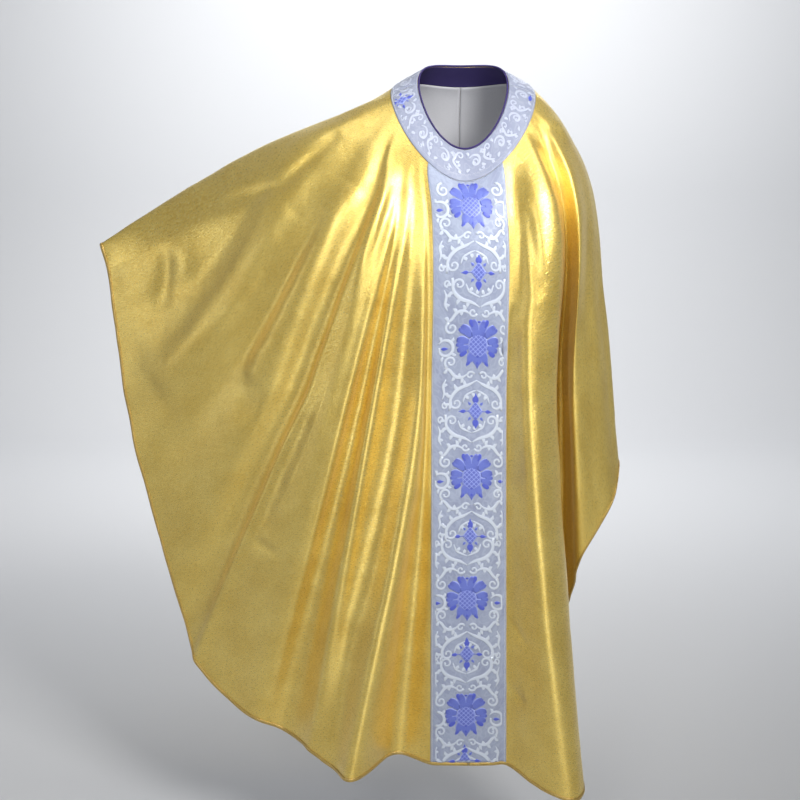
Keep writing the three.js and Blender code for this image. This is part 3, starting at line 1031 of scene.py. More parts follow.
PALMETTE = (
    petal(180, 18, 45, 10.5),
    round_patch(0, 3, 21, 21.5, LATTICE),
    round_patch(0, 21, 2.8, 3.4),
    round_patch(0, 34, 2.6, 3.2),
    round_patch(0, 1, 2.2, 2.8),
    Stroke(((-13, -17), (0, -20), (13, -17)), (5, 8, 5), PETAL, 0.5),
    round_patch(0, -40, 3.0, 2.0),
) + both((
    lobe(14, 14, 45, 8.5), lobe(20, 33, 47, 4.6, DEEP),
    lobe(42, 18, 46, 9.0), lobe(51, 30, 46, 4.4),
    lobe(76, 18, 40, 8.5), lobe(90, 26, 40, 5.0),
    lobe(106, 18, 39, 7.5), lobe(122, 24, 38, 5.0, DEEP),
    petal(151, 16, 44, 8.6, PETAL, 1.5), petal(154, 34, 45, 3.6, DEEP),
))
CROSS = (
    Stroke(((0, -17), (0, 0), (0, 17)), (1.5, 8, 14.5, 8, 1.5), LATTICE, 0.5, 11),
    Stroke(((0, -15), (0, -24), (0, -34)), (2.5, 6.2, 5.6, 2.2, 0.1), DEEP),
    Stroke(((0, 15), (0, 25), (0, 35)), (2.5, 6.2, 5.6, 2.2, 0.1), DEEP),
) + both((
    Stroke(((18, 0), (25, 0), (32, 0)), (0.8, 3.6, 3.2, 1.2, 0.1), DEEP),
    Stroke(((12, 0), (16, 0), (19, 0)), (1.2, 0.8, 0.8), PETAL),
    petal(38, 15, 23, 2.6),
    petal(142, 15, 23, 2.6),
))
BUD = (Stroke(((-7, 0), (0, 0), (7, 0)), (0.5, 3.2, 3.2, 1.6, 0.1), DEEP, 0.45, 9),)


def leaf(s: float, t: float, angle: float, size: float) -> Stroke:
    """An acanthus leaf standing off a scroll.

    Args:
        s: Its root across.
        t: Its root down.
        angle: Where it points, in degrees, 0 up and positive to the right.
        size: Its length.

    Returns:
        The leaf.
    """
    dx, dy = math.sin(math.radians(angle)), -math.cos(math.radians(angle))
    curl = size * 0.22
    middle = (s + dx * size * 0.5 - dy * curl, t + dy * size * 0.5 + dx * curl)
    tip = (s + dx * size, t + dy * size)
    return Stroke(((s, t), middle, tip), (1.0, 2.6, 2.4, 0.2), SCROLL, 0.4, 7)


# Half of the scrollwork between a palmette at 0 and the cross below it at 121.
SCROLLS = (
    Stroke(((0, 66), (14, 74), (34, 82), (47, 98), (49, 121)), (0.6, 2.2, 3.0, 2.4, 1.8), SCROLL, 0.5, 18),
    Stroke(spiral(37, 108, 11, -20, 1.15), (1.8, 1.6, 1.4, 1.2, 1.8), SCROLL, 0.45, 22),
    Stroke(((0, 84), (9, 88), (20, 95), (25, 108)), (0.5, 1.4, 1.6, 0.6), SCROLL, 0.4, 10),
    Stroke(((14, 52), (27, 60), (40, 58), (50, 46), (60, 40)), (0.6, 2.0, 2.6, 2.2, 1.2), SCROLL, 0.5, 16),
    Stroke(spiral(49, 31, 12, 60, -1.2), (2.0, 1.8, 1.5, 1.2, 2.0), SCROLL, 0.5, 24),
    Stroke(spiral(12, 57, 8, 200, 1.0), (1.6, 1.5, 1.2, 1.8), SCROLL, 0.45, 16),
    Stroke(((57, 62), (62, 74), (60, 88), (64, 100)), (0.6, 2.2, 1.8, 0.5), SCROLL, 0.45, 12),
    Stroke(spiral(58, 112, 7, -90, 0.9), (1.4, 1.4, 1.2, 1.6), SCROLL, 0.4, 14),
    leaf(18, 76, 20, 11), leaf(33, 81, 40, 12), leaf(46, 94, 60, 12), leaf(50, 108, 80, 11),
    leaf(28, 60, 170, 11), leaf(42, 56, 150, 11), leaf(56, 44, 130, 9), leaf(30, 60, 10, 8),
    leaf(62, 76, -70, 9), leaf(60, 90, -110, 9), leaf(8, 90, 200, 8), leaf(20, 96, 220, 8),
)
EYE = (
    Stroke(spiral(0, 0, 16.5, -150, 0.95, 0.3), (0.8, 2.4, 2.8, 2.6, 2.2, 1.6), SCROLL, 0.5, 26),
    leaf(-9, -13, -20, 9), leaf(9, -13, 40, 9), leaf(13, 8, 120, 9), leaf(-4, 15, 190, 9),
)


class Figure:
    """Woven figures pinned to a cloth, gathered into one piece."""

    # Across the stroke, and how high each point stands: over the top, then back under the face.
    PROFILE = (-1.0, -0.72, 0.0, 0.72, 1.0, 1.0, -1.0)
    RISE = (0.35, 0.85, 1.0, 0.85, 0.35)
    SUNK = -0.12
    LEAST_STEPS = 4

    def __init__(self, cloth: Cloth, face: float, limits: tuple[float, float, float]) -> None:
        """Starts an empty figure.

        Args:
            cloth: The cloth it is woven into.
            face: Height of the cloth's outer face.
            limits: Half the width, and the first and last distance down, that it stays within.
        """
        self.cloth = cloth
        self.face = face
        self.limits = limits
        self.vertices: list[np.ndarray] = []
        self.faces: list[list[int]] = []
        self.figure: list[np.ndarray] = []
        self.plan: list[np.ndarray] = []
        self.tones: list[np.ndarray] = []
        self.total = 0

    def add(
        self, strokes: tuple[Stroke, ...], s: float, t: float, scale: float = 1.0, flip: bool = False
    ) -> None:
        """Adds a copy of a motif.

        Args:
            strokes: The motif.
            s: Its centre across, in millimetres.
            t: Its centre down, in millimetres.
            scale: Its scale.
            flip: Turn it top to bottom.
        """
        half, low, high = self.limits
        for stroke in strokes:
            spine, side, width = stroke.moved(s, t, scale, flip=flip).outline()
            keep = (np.abs(spine[:, 0]) < half) & (spine[:, 1] > low) & (spine[:, 1] < high)
            if keep.sum() < self.LEAST_STEPS:
                continue
            spine, side, width = spine[keep], side[keep], width[keep]
            count, ring = len(spine), len(self.PROFILE)
            across = np.array(self.PROFILE)
            flat = spine[:, None] + side[:, None] * (width[:, None, None] * across[None, :, None])
            flat[..., 0] = np.clip(flat[..., 0], -half, half)
            flat[..., 1] = np.clip(flat[..., 1], low, high)
            rise = np.array([r * stroke.height for r in self.RISE] + [self.SUNK, self.SUNK])
            taper = np.minimum(1, width / 1.2)[:, None]
            height = self.face + np.where(rise > 0, rise * (0.4 + 0.6 * taper), rise) * MM
            s_all, t_all = (flat[..., i].ravel() * MM for i in (0, 1))
            points = self.cloth.pin(s_all, t_all, height.ravel())
            number = np.arange(count * ring).reshape(count, ring) + self.total
            nxt = np.roll(number, -1, axis=1)
            quads = np.stack([number[:-1], number[1:], nxt[1:], nxt[:-1]], axis=-1).reshape(-1, 4)
            self.faces += quads.tolist() + [number[0].tolist(), number[-1][::-1].tolist()]
            along = np.linspace(0, 1, count)[:, None] * np.ones(ring)
            place = np.stack([along, np.broadcast_to(across, (count, ring))], axis=-1)
            self.vertices.append(points)
            self.figure.append(place.reshape(-1, 2))
            self.plan.append((flat - np.array([s, t])).reshape(-1, 2))
            self.tones.append(np.full(count * ring, stroke.tone))
            self.total += count * ring

    def finish(self, name: str) -> bpy.types.Object:
        """Makes the figure's piece.

        Args:
            name: Its name.

        Returns:
            The piece, with the attributes tone and plan that its threads follow.
        """
        vertices, figure = np.concatenate(self.vertices), np.concatenate(self.figure)
        piece = face_out(mesh_object(name, vertices, self.faces, figure))
        tone = piece.data.attributes.new("tone", "FLOAT", "POINT")
        tone.data.foreach_set("value", np.concatenate(self.tones).astype(np.float32))
        plan = np.concatenate(self.plan)
        plan = np.concatenate([plan, np.zeros((len(plan), 1))], axis=1)
        attribute = piece.data.attributes.new("plan", "FLOAT_VECTOR", "POINT")
        attribute.data.foreach_set("vector", plan.astype(np.float32).ravel())
        return piece


# ---- Finishes -----------------------------------------------------------------------------------

Colour = tuple[float, float, float]


class Graph:
    """A small builder of shader nodes."""

    def __init__(self, name: str) -> None:
        """Starts a material with one Principled shader.

        Args:
            name: The material's name.
        """
        self.material = bpy.data.materials.new(name)
        self.material.use_nodes = True
        self.nodes = self.material.node_tree.nodes
        self.links = self.material.node_tree.links
        self.shader = self.nodes["Principled BSDF"]

    def put(self, node: bpy.types.Node, sockets: dict) -> bpy.types.Node:
        """Sets a node's inputs.

        Args:
            node: The node.
            sockets: A constant, or a socket to link, for each input.

        Returns:
            The same node.
        """
        for key, value in sockets.items():
            if isinstance(value, bpy.types.NodeSocket):
                self.links.new(value, node.inputs[key])
            elif isinstance(value, tuple) and len(value) == 3 and node.inputs[key].type == "RGBA":
                node.inputs[key].default_value = (*value, 1.0)
            else:
                node.inputs[key].default_value = value
        return node

    def node(self, kind: str, sockets: dict | None = None, **settings: object) -> bpy.types.Node:
        """Adds a node.

        Args:
            kind: Its type.
            sockets: Its inputs.
            settings: Its settings.

        Returns:
            The node.
        """
        node = self.nodes.new(kind)
        for key, value in settings.items():
            setattr(node, key, value)
        return self.put(node, sockets or {})

    def cloth(self) -> bpy.types.NodeSocket:
        """The cloth's own coordinates: its place laid flat, or along and across a stroke."""
        return self.node("ShaderNodeUVMap", uv_map="cloth").outputs["UV"]

    def weave(self, across: float, down: float, detail: float) -> bpy.types.NodeSocket:
        """Noise on the flat cloth, with so many cells to the metre across and down."""
        sockets = {"Vector": self.cloth(), "Scale": (across, down, 1.0)}
        return self.noise(self.node("ShaderNodeMapping", sockets).outputs["Vector"], detail)

    def place(self, scale: Colour) -> bpy.types.NodeSocket:
        """The object's coordinates, in metres, times a scale."""
        source = self.node("ShaderNodeTexCoord").outputs["Object"]
        return self.node("ShaderNodeMapping", {"Vector": source, "Scale": scale}).outputs["Vector"]

    def noise(self, vector: bpy.types.NodeSocket, detail: float) -> bpy.types.NodeSocket:
        """Soft noise, one cell to the unit."""
        sockets = {"Vector": vector, "Scale": 1.0, "Detail": detail, "Roughness": 0.6}
        return self.node("ShaderNodeTexNoise", sockets).outputs["Fac"]

    def math(self, operation: str, a: object, b: object = 0.0) -> bpy.types.NodeSocket:
        """One sum on one or two numbers."""
        return self.node("ShaderNodeMath", {0: a, 1: b}, operation=operation).outputs[0]

    def blend(self, **shares: tuple[bpy.types.NodeSocket, float]) -> bpy.types.NodeSocket:
        """Adds named patterns up, each times its share.

        Args:
            shares: A pattern and its share for each name.

        Returns:
            Their sum.
        """
        total = None
        for pattern, share in shares.values():
            part = self.math("MULTIPLY", pattern, share)
            total = part if total is None else self.math("ADD", total, part)
        return total

    def ramp(
        self, value: bpy.types.NodeSocket, low: float, high: float, start: float = 0.0, end: float = 1.0
    ) -> bpy.types.NodeSocket:
        """A smooth rise from `start` to `end` as the value goes from `low` to `high`."""
        sockets = {"Value": value, "From Min": low, "From Max": high, "To Min": start, "To Max": end}
        return self.node("ShaderNodeMapRange", sockets, interpolation_type="SMOOTHSTEP").outputs["Result"]

    def mix(self, factor: object, a: object, b: object, share: float = 1.0) -> bpy.types.NodeSocket:
        """A colour between two.

        Args:
            factor: How far towards the second, from 0 to 1.
            a: The first colour, or a socket that gives it.
            b: The second.
            share: How much of the factor counts.

        Returns:
            The colour.
        """
        if share < 1:
            factor = self.math("MULTIPLY", factor, share)
        node = self.node("ShaderNodeMix", data_type="RGBA")
        self.put(node, {"Factor": factor})
        for index, value in ((6, a), (7, b)):
            if isinstance(value, tuple):
                node.inputs[index].default_value = (*value, 1.0)
            else:
                self.links.new(value, node.inputs[index])
        return node.outputs[2]

    def bump(self, height: bpy.types.NodeSocket, depth: float) -> None:
        """Roughens the surface by a height from 0 to 1, `depth` metres deep."""
        sockets = {"Height": height, "Strength": 1.0, "Distance": depth}
        self.put(self.shader, {"Normal": self.node("ShaderNodeBump", sockets).outputs["Normal"]})


@dataclass(frozen=True)
class Finish:
    """A finish: the material slot that it belongs to, and its colours and shine."""

    name: str
    slot: str
    light: Colour
    deep: Colour
    metallic: float
    roughness: float

    def make(self) -> bpy.types.Material:
        """Builds the material.

        Returns:
            The material.
        """
        graph = Graph(self.name)
        graph.put(graph.shader, {"Metallic": self.metallic, "Roughness": self.roughness})
        self.paint(graph)
        return graph.material

    def paint(self, graph: Graph) -> None:
        """Gives the shader its colour and grain.

        Args:
            graph: The material's nodes.
        """
        grain = graph.weave(900.0, 900.0, 2.0)
        graph.put(graph.shader, {"Base Color": graph.mix(grain, self.deep, self.light)})
        graph.bump(grain, 0.0002)


@dataclass(frozen=True)
class Lame(Finish):
    """Gold lame: metal thread in a crepe ground, with weft slubs and sparkle."""

    def paint(self, graph: Graph) -> None:
        """Slubs run along the weft; the crepe breaks the shine up.

        Args:
            graph: The material's nodes.
        """
        slub = graph.weave(90.0, 620.0, 2.0)
        crepe = graph.weave(330.0, 480.0, 2.0)
        cloud = graph.weave(9.0, 16.0, 3.0)
        glint = graph.weave(760.0, 980.0, 0.0)
        thread = graph.blend(slub=(slub, 0.55), crepe=(crepe, 0.45))
        tone = graph.ramp(graph.blend(cloud=(cloud, 0.25), thread=(thread, 0.75)), 0.30, 0.68)
        colour = graph.mix(tone, self.deep, self.light)
        colour = graph.mix(graph.ramp(glint, 0.66, 0.78), colour, (1.0, 0.93, 0.62), 0.55)
        rough = graph.ramp(crepe, 0.3, 0.7, self.roughness + 0.07, self.roughness - 0.07)
        sheen = {"Sheen Weight": 0.25, "Sheen Roughness": 0.45, "Sheen Tint": (1.0, 0.86, 0.5)}
        gloss = {"Specular IOR Level": 0.9, "Coat Weight": 0.35, "Coat Roughness": 0.34}
        graph.put(graph.shader, {"Base Color": colour, "Roughness": rough, **sheen, **gloss})
        graph.bump(thread, 0.0009)


@dataclass(frozen=True)
class Brocade(Finish):
    """Silver-blue brocade ground: satin with a fine rib and a faint damask of its own."""

    def paint(self, graph: Graph) -> None:
        """The satin floats catch the light in soft patches.

        Args:
            graph: The material's nodes.
        """
        patch = graph.weave(26.0, 22.0, 3.0)
        rib = graph.weave(160.0, 1500.0, 1.0)
        vein = graph.math("ABSOLUTE", graph.math("SUBTRACT", graph.weave(62.0, 58.0, 1.0), 0.5))
        damask = graph.ramp(vein, 0.02, 0.07)
        tone = graph.blend(patch=(patch, 0.7), damask=(damask, 0.1), rib=(rib, 0.15))
        colour = graph.mix(graph.ramp(tone, 0.25, 0.85), self.light, self.deep)
        rough = graph.ramp(damask, 0.0, 1.0, self.roughness - 0.08, self.roughness + 0.1)
        graph.put(graph.shader, {"Base Color": colour, "Roughness": rough, "Sheen Weight": 0.3})
        graph.bump(graph.blend(damask=(damask, -0.2), rib=(rib, 0.5)), 0.0003)


@dataclass(frozen=True)
class Thread(Finish):
    """Figure thread: silver scrolls, periwinkle petals with lilac rims, and deep blue tips."""

    LATTICE_PITCH: ClassVar[float] = 0.36

    def paint(self, graph: Graph) -> None:
        """Colours each stroke by its tone, its rim and its tip.

        Args:
            graph: The material's nodes.
        """
        tone = graph.node("ShaderNodeAttribute", attribute_name="tone").outputs["Fac"]
        plan = graph.node("ShaderNodeAttribute", attribute_name="plan").outputs["Vector"]
        figure = graph.node("ShaderNodeSeparateXYZ", {0: graph.cloth()})
        along, across = figure.outputs[0], graph.math("ABSOLUTE", figure.outputs[1])
        flat = graph.node("ShaderNodeSeparateXYZ", {0: plan})
        rim = graph.ramp(across, 0.66, 0.92)
        tip = graph.ramp(along, 0.55, 0.95)
        body = graph.mix(tip, (0.085, 0.125, 0.52), (0.04, 0.055, 0.38), 0.55)
        body = graph.mix(rim, body, (0.28, 0.34, 0.76), 0.75)
        slant = [graph.math(kind, flat.outputs[0], flat.outputs[1]) for kind in ("ADD", "SUBTRACT")]
        waves = [graph.math("SINE", graph.math("MULTIPLY", way, self.LATTICE_PITCH)) for way in slant]
        waves = [graph.math("ABSOLUTE", wave) for wave in waves]
        scale = graph.ramp(graph.math("MINIMUM", *waves), 0.12, 0.34, 1.0, 0.0)
        scale = graph.math("MAXIMUM", scale, rim)
        lattice = graph.mix(scale, (0.075, 0.11, 0.50), (0.30, 0.36, 0.78))
        deep = graph.mix(rim, (0.035, 0.06, 0.50), (0.22, 0.28, 0.80), 0.5)
        colour = graph.mix(rim, self.light, self.deep)
        for threshold, thread in ((PETAL - 0.15, body), (LATTICE - 0.15, lattice), (DEEP - 0.2, deep)):
            colour = graph.mix(graph.ramp(tone, threshold - 0.05, threshold + 0.05), colour, thread)
        grain = graph.noise(graph.place((900.0, 900.0, 900.0)), 1.0)
        colour = graph.mix(grain, colour, self.light, 0.12)
        graph.put(graph.shader, {"Base Color": colour, "Sheen Weight": 0.2})
        graph.bump(grain, 0.0003)


GOLD = Lame("gold_lame", "gold_lame", (0.92, 0.72, 0.20), (0.62, 0.40, 0.045), 0.72, 0.33)
SILVER = Brocade("brocade", "brocade", (0.35, 0.40, 0.53), (0.22, 0.25, 0.38), 0.12, 0.46)
# The neck band's brocade is a darker copy of the orphrey's: painted shade, for the upturned band that the
# top light falls on.
SHADED_NECK_BROCADE = Brocade("shaded_neck_brocade", "brocade", (0.32, 0.35, 0.46), (0.22, 0.25, 0.37), 0.14, 0.44)
# The band's scroll thread is a darker copy of the orphrey's thread: painted shade, as for the band's
# brocade.
SHADED_BAND_THREAD = Thread("shaded_band_thread", "brocade", (0.46, 0.50, 0.62), (0.31, 0.34, 0.47), 0.14, 0.38)
FIGURE = Thread("figure_thread", "brocade", (0.54, 0.60, 0.71), (0.34, 0.38, 0.52), 0.10, 0.36)
INDIGO = Finish("indigo_facing", "facing", (0.050, 0.034, 0.17), (0.028, 0.018, 0.10), 0.0, 0.85)
SATIN = Finish("pale_lining", "lining", (0.60, 0.61, 0.65), (0.50, 0.51, 0.56), 0.05, 0.50)
CANVAS = Finish("canvas", "interfacing", (0.80, 0.77, 0.66), (0.66, 0.62, 0.52), 0.0, 0.9)
# The hem binding's gold is darker than the shell's: painted shade, for the shadow in the roll of the hem.
SHADED_HEM_EDGING = Lame("shaded_hem_gold", "binding", (0.60, 0.42, 0.11), (0.34, 0.21, 0.03), 0.65, 0.42)
ZIGZAG = Finish("zigzag_thread", "brocade", (0.70, 0.72, 0.78), (0.60, 0.62, 0.68), 0.0, 0.6)


class Wardrobe:
    """Makes each finish's material once and dresses pieces in it."""

    def __init__(self) -> None:
        """Starts with no materials made."""
        self.made: dict[str, bpy.types.Material] = {}

    def dress(self, piece: bpy.types.Object, finish: Finish, *nodes: str) -> bpy.types.Object:
        """Gives a piece its finish and its place in the frame.

        Args:
            piece: The piece.
            finish: Its finish.
            nodes: The CAD nodes that it stands in for.

        Returns:
            The piece.
        """
        if finish.name not in self.made:
            self.made[finish.name] = finish.make()
        piece.data.materials.append(self.made[finish.name])
        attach(piece, "root")
        if nodes:
            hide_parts(*nodes)
        return piece


# ---- The garment's sub-assemblies ---------------------------------------------------------------

# The shell starts clear of the piping, and the band ends just short of its own width.
NECK_START = BAND_LEVEL * 2.6 * MM / Pattern.band_width
BAND_END = BAND_LEVEL * (1 - 0.3 * MM / Pattern.band_width)
FIGURE_RISE = 0.2 * MM
STITCH_SINK = 0.15 * MM


@dataclass(frozen=True)
class Cut:
    """The flat size a piece of cloth was cut to, in metres and square metres."""

    width: float
    length: float
    area: float


@dataclass
class SubAssembly:
    """Pieces of the garment that are made together."""

    surface: DrapedSurface
    wardrobe: Wardrobe
    pieces: list[bpy.types.Object] = field(default_factory=list)

    def keep(self, piece: bpy.types.Object) -> bpy.types.Object:
        """Counts a piece in."""
        self.pieces.append(piece)
        return piece

    def build(self) -> list[bpy.types.Object]:
        """Makes the pieces."""
        raise NotImplementedError


@dataclass(frozen=True)
class PanelPlan:
    """One quarter of the garment, from one seam to the next."""

    facing: Facing
    side: Side
    columns: int
    rows: int
    shell: Cut
    lining: Cut


class Panel(SubAssembly):
    """A quarter's lame shell, its lining and its hem binding."""

    BINDING = (
        (-6.0, 0.6), (-6.0, 1.15), (-3.0, 1.3), (-0.2, 1.2), (0.9, 0.7), (1.2, -0.8), (0.9, -2.3),
        (-0.2, -2.9), (-6.0, -2.9), (-6.0, -2.3), (0.0, -2.3), (0.6, -0.8), (0.0, 0.6),
    )

    def __init__(self, surface: DrapedSurface, wardrobe: Wardrobe, plan: PanelPlan) -> None:
        """Takes the panel's plan."""
        super().__init__(surface, wardrobe)
        self.plan = plan

    def build(self) -> list[bpy.types.Object]:
        """Makes the shell, the lining and the binding.

        Returns:
            The pieces.
        """
        plan = self.plan
        name = f"{plan.facing.value}_{plan.side.name.lower()}"
        across = self.surface.quarter(plan.facing, plan.side)
        cloth = Cloth(self.surface, Area(across, NECK_START), plan.columns, plan.rows)
        shell = self.keep(cloth.sheet(f"{name}_shell_cloth", SHELL))
        self.wardrobe.dress(shell, GOLD, f"{name}_shell")
        binding = self.keep(self._binding(cloth, f"{name}_hem_binding_fold"))
        # The binding wears the darker gold: painted shade along the hem.
        self.wardrobe.dress(binding, SHADED_HEM_EDGING, f"{name}_hem_binding")
        inner = Cloth(self.surface, Area(across, BAND_LEVEL), plan.columns, plan.rows)
        lining = self.keep(inner.sheet(f"{name}_lining_cloth", LINING))
        self.wardrobe.dress(lining, SATIN, f"{name}_lining")
        LOG.info("%s shell %.3f m2, lining %.3f m2", name, cloth.area_flat(), inner.area_flat())
        return self.pieces

    def _binding(self, cloth: Cloth, name: str) -> bpy.types.Object:
        """The bias binding folded over the hem.

        Args:
            cloth: The shell's cloth.
            name: The piece's name.

        Returns:
            The piece.
        """
        hem, normal = cloth.points[-1], cloth.normals[-1]
        outward = np.cross(cloth.sideways[-1], normal)
        outward *= np.sign((outward * (hem - cloth.points[-2])).sum(axis=1))[:, None]
        outward /= np.linalg.norm(outward, axis=1, keepdims=True)
        rings = []
        for along, height in self.BINDING:
            if along < 0:
                base = self._above_hem(cloth, -along * MM)
            else:
                base = hem + outward * along * MM
            rings.append(base + normal * height * MM)
        grid = np.stack(rings, axis=1)
        columns, count = grid.shape[:2]
        number = np.arange(columns * count).reshape(columns, count)
        nxt = np.roll(number, -1, axis=1)
        faces = np.stack([number[:-1], nxt[:-1], nxt[1:], number[1:]], axis=-1).reshape(-1, 4).tolist()
        faces += [number[0][::-1].tolist(), number[-1].tolist()]
        way = np.concatenate([[0.0], np.cumsum(np.linalg.norm(np.diff(hem, axis=0), axis=1))])
        around = np.linalg.norm(np.diff(self.BINDING, axis=0), axis=1) * MM
        around = np.concatenate([[0.0], np.cumsum(around)])
        uv = np.stack(np.meshgrid(way, around, indexing="ij"), axis=-1).reshape(-1, 2)
        return face_out(mesh_object(name, grid.reshape(-1, 3), faces, uv))

    @staticmethod
    def _above_hem(cloth: Cloth, distance: float) -> np.ndarray:
        """Finds the row of points a distance up the cloth from its hem.

        Args:
            cloth: The cloth.
            distance: The distance, in metres, within the last few rows.

        Returns:
            A point in each column.
        """
        near = slice(None, -7, -1)
        picked = []
        for column in range(cloth.points.shape[1]):
            back = cloth.down[-1, column] - cloth.down[near, column]
            line = cloth.points[near, column]
            picked.append([np.interp(distance, back, line[:, i]) for i in range(3)])
        return np.array(picked)


@dataclass(frozen=True)
class Placing:
    """One row of the orphrey's figures: height, shift across in millimetres, and edge buds."""

    z: float
    shift: float
    buds: tuple[Side, ...] = ()


PALMETTES = (
    Placing(-0.213, 3, (Side.RIGHT,)), Placing(-0.460, 13, (Side.RIGHT,)),
    Placing(-0.708, 5, (Side.RIGHT, Side.LEFT)), Placing(-0.945, -3, (Side.RIGHT, Side.LEFT)),
    Placing(-1.180, -5, (Side.LEFT,)),
)
CROSSES = (
    Placing(-0.332, 10), Placing(-0.583, 12), Placing(-0.822, 2.5), Placing(-1.056, -3.5),
    Placing(-1.274, -7.5),
)


def zigzag(start: tuple[float, float], end: tuple[float, float]) -> Stroke:
    """A zigzag row of machine stitches.

    Args:
        start: Where the row starts, in millimetres.
        end: Where it ends.

    Returns:
        The row.
    """
    reach, step, thread = 1.0, 1.9, 0.26
    length = math.dist(start, end)
    count = int(length / step)
    dx, dy = (end[0] - start[0]) / length, (end[1] - start[1]) / length
    path = []
    for i in range(count + 1):
        off = reach if i % 2 else -reach
        path.append((start[0] + dx * i * step - dy * off, start[1] + dy * i * step + dx * off))
    return Stroke(tuple(path), (thread, thread), SCROLL, 0.3, 2 * count + 1)


class Trim(SubAssembly):
    """Brocade over canvas on one half of the garment."""

    EDGE = 1.5

    def __init__(self, surface: DrapedSurface, wardrobe: Wardrobe, facing: Facing, cut: Cut) -> None:
        """Takes the half and the cut.

        Args:
            surface: The draped surface.
            wardrobe: The finishes, to dress the pieces in.
            facing: Which half it is on.
            cut: Its size laid flat.
        """
        super().__init__(surface, wardrobe)
        self.facing = facing
        self.cut = cut

    def lay(self, piece: bpy.types.Object, figures: Sequence[bpy.types.Object] = ()) -> None:
        """Takes a layer of the trim, and does nothing with it.

        Args:
            piece: The layer; not used.
            figures: The pieces woven or sewn into it; not used.
        """

    def finish(self, figure: Figure, name: str, thread: Finish) -> bpy.types.Object:
        """Makes a figure's piece.

        Args:
            figure: The figure.
            name: What it is, for the piece's name.
            thread: Its thread.

        Returns:
            The piece.
        """
        piece = self.keep(figure.finish(f"{self.facing.value}_{name}"))
        return self.wardrobe.dress(piece, thread)


class Pillar(Trim):
    """The pillar orphrey of one half, with its interfacing, woven figures and stitching."""

    GRID = (49, 391)
    HEM_CLEAR = 6.3 * MM
    # In millimetres: half the figured width, and how far out the edge rings and buds sit.
    FIELD = 65.5
    RING_OUT = 57
    BUD_OUT = 58
    BUD_DROP = 6
    DRIFT_AT_EDGE = 0.8
    STITCH_IN = 2.2

    def build(self) -> list[bpy.types.Object]:
        """Makes the strips, then pins the figures on.

        Returns:
            The pieces.
        """
        name = self.facing.value
        centre = self.surface.centre(self.facing)
        across = (centre - PILLAR_HALF, centre + PILLAR_HALF)
        area = Area(across, BAND_LEVEL, clear=self.HEM_CLEAR, grain=Grain.STRIP)
        cloth = Cloth(self.surface, area, *self.GRID)
        cloth.centre_on(centre, straight=True)
        brocade = self.keep(cloth.sheet(f"{name}_orphrey_cloth", BROCADE, soft=BROCADE_ROUNDING))
        stiff = self.keep(cloth.sheet(f"{name}_orphrey_interfacing_cloth", INTERFACING, every=2))
        self.wardrobe.dress(brocade, SILVER, f"{name}_orphrey")
        self.wardrobe.dress(stiff, CANVAS, f"{name}_orphrey_interfacing")
        figures = [self._motifs(cloth), self._scrolls(cloth), self._stitching(cloth)]
        LOG.info("%s orphrey %.3f m2, long %.3f m", name, cloth.area_flat(), cloth.down[-1].mean())
        self.lay(brocade, figures)
        self.lay(stiff)
        return self.pieces

    def _limits(self, cloth: Cloth) -> tuple[float, float, float]:
        """Half the width, and the first and last distance down, free for figures."""
        return self.FIELD, self.EDGE, float(cloth.down[-1].min()) / MM - self.EDGE

    def _shift(self, placing: Placing) -> float:
        """A figure's shift from the centre; the back is woven straight."""
        return placing.shift if self.facing is Facing.FRONT else 0.0

    def _rows(self, cloth: Cloth, placings: tuple[Placing, ...]) -> list[tuple[float, Placing]]:
        """Each row with its place down the orphrey, in millimetres.

        Args:
            cloth: The orphrey's cloth.
            placings: The rows of one figure.

        Returns:
            The rows; the back's neck is higher, so its cloth shows one repeat more.
        """
        rows = [(cloth.down_at(row.z) / MM, row) for row in placings]
        if self.facing is Facing.BACK:
            rows.insert(0, (2 * rows[0][0] - rows[1][0], Placing(0.0, 0.0)))
        return rows

    def _motifs(self, cloth: Cloth) -> bpy.types.Object:
        """Palmettes, crosses and edge buds in blue thread.

        Args:
            cloth: The orphrey's cloth.

        Returns:
            The piece.
        """
        figure = Figure(cloth, BROCADE.outer, self._limits(cloth))
        for down, row in self._rows(cloth, PALMETTES):
            shift = self._shift(row)
            figure.add(PALMETTE, shift, down)
            for side in row.buds:
                out = side.value * self.BUD_OUT + shift * self.DRIFT_AT_EDGE
                figure.add(BUD, out, down + self.BUD_DROP)
        for down, row in self._rows(cloth, CROSSES):
            figure.add(CROSS, self._shift(row), down)
        return self.finish(figure, "orphrey_motifs", FIGURE)

    def _scrolls(self, cloth: Cloth) -> bpy.types.Object:
        """Silver scrollwork round every figure.

        Args:
            cloth: The orphrey's cloth.

        Returns:
            The piece.
        """
        figure = Figure(cloth, BROCADE.outer, self._limits(cloth))
        scrolls, eye = both(bolder(SCROLLS, 1.4)), bolder(EYE, 1.2)
        for down, row in self._rows(cloth, PALMETTES):
            shift = self._shift(row)
            figure.add(scrolls, shift, down)
            figure.add(scrolls, shift, down, flip=True)
            for side in Side:
                out = side.value * self.RING_OUT + shift * self.DRIFT_AT_EDGE
                figure.add(eye, out, down + self.BUD_DROP)
        return self.finish(figure, "orphrey_scrolls", FIGURE)

    def _stitching(self, cloth: Cloth) -> bpy.types.Object:
        """The zigzag rows that hold the orphrey's edges down.

        Args:
            cloth: The orphrey's cloth.

        Returns:
            The piece.
        """
        _, low, high = self._limits(cloth)
        whole = (cloth.across[-1] - cloth.across[0]) / MM
        figure = Figure(cloth, BROCADE.outer - STITCH_SINK, (whole, low, high))
        for side in Side:
            out = side.value * (whole / 2 - self.STITCH_IN)
            figure.add((zigzag((out, low), (out, high)),), 0, 0)
        return self.finish(figure, "orphrey_stitching", ZIGZAG)


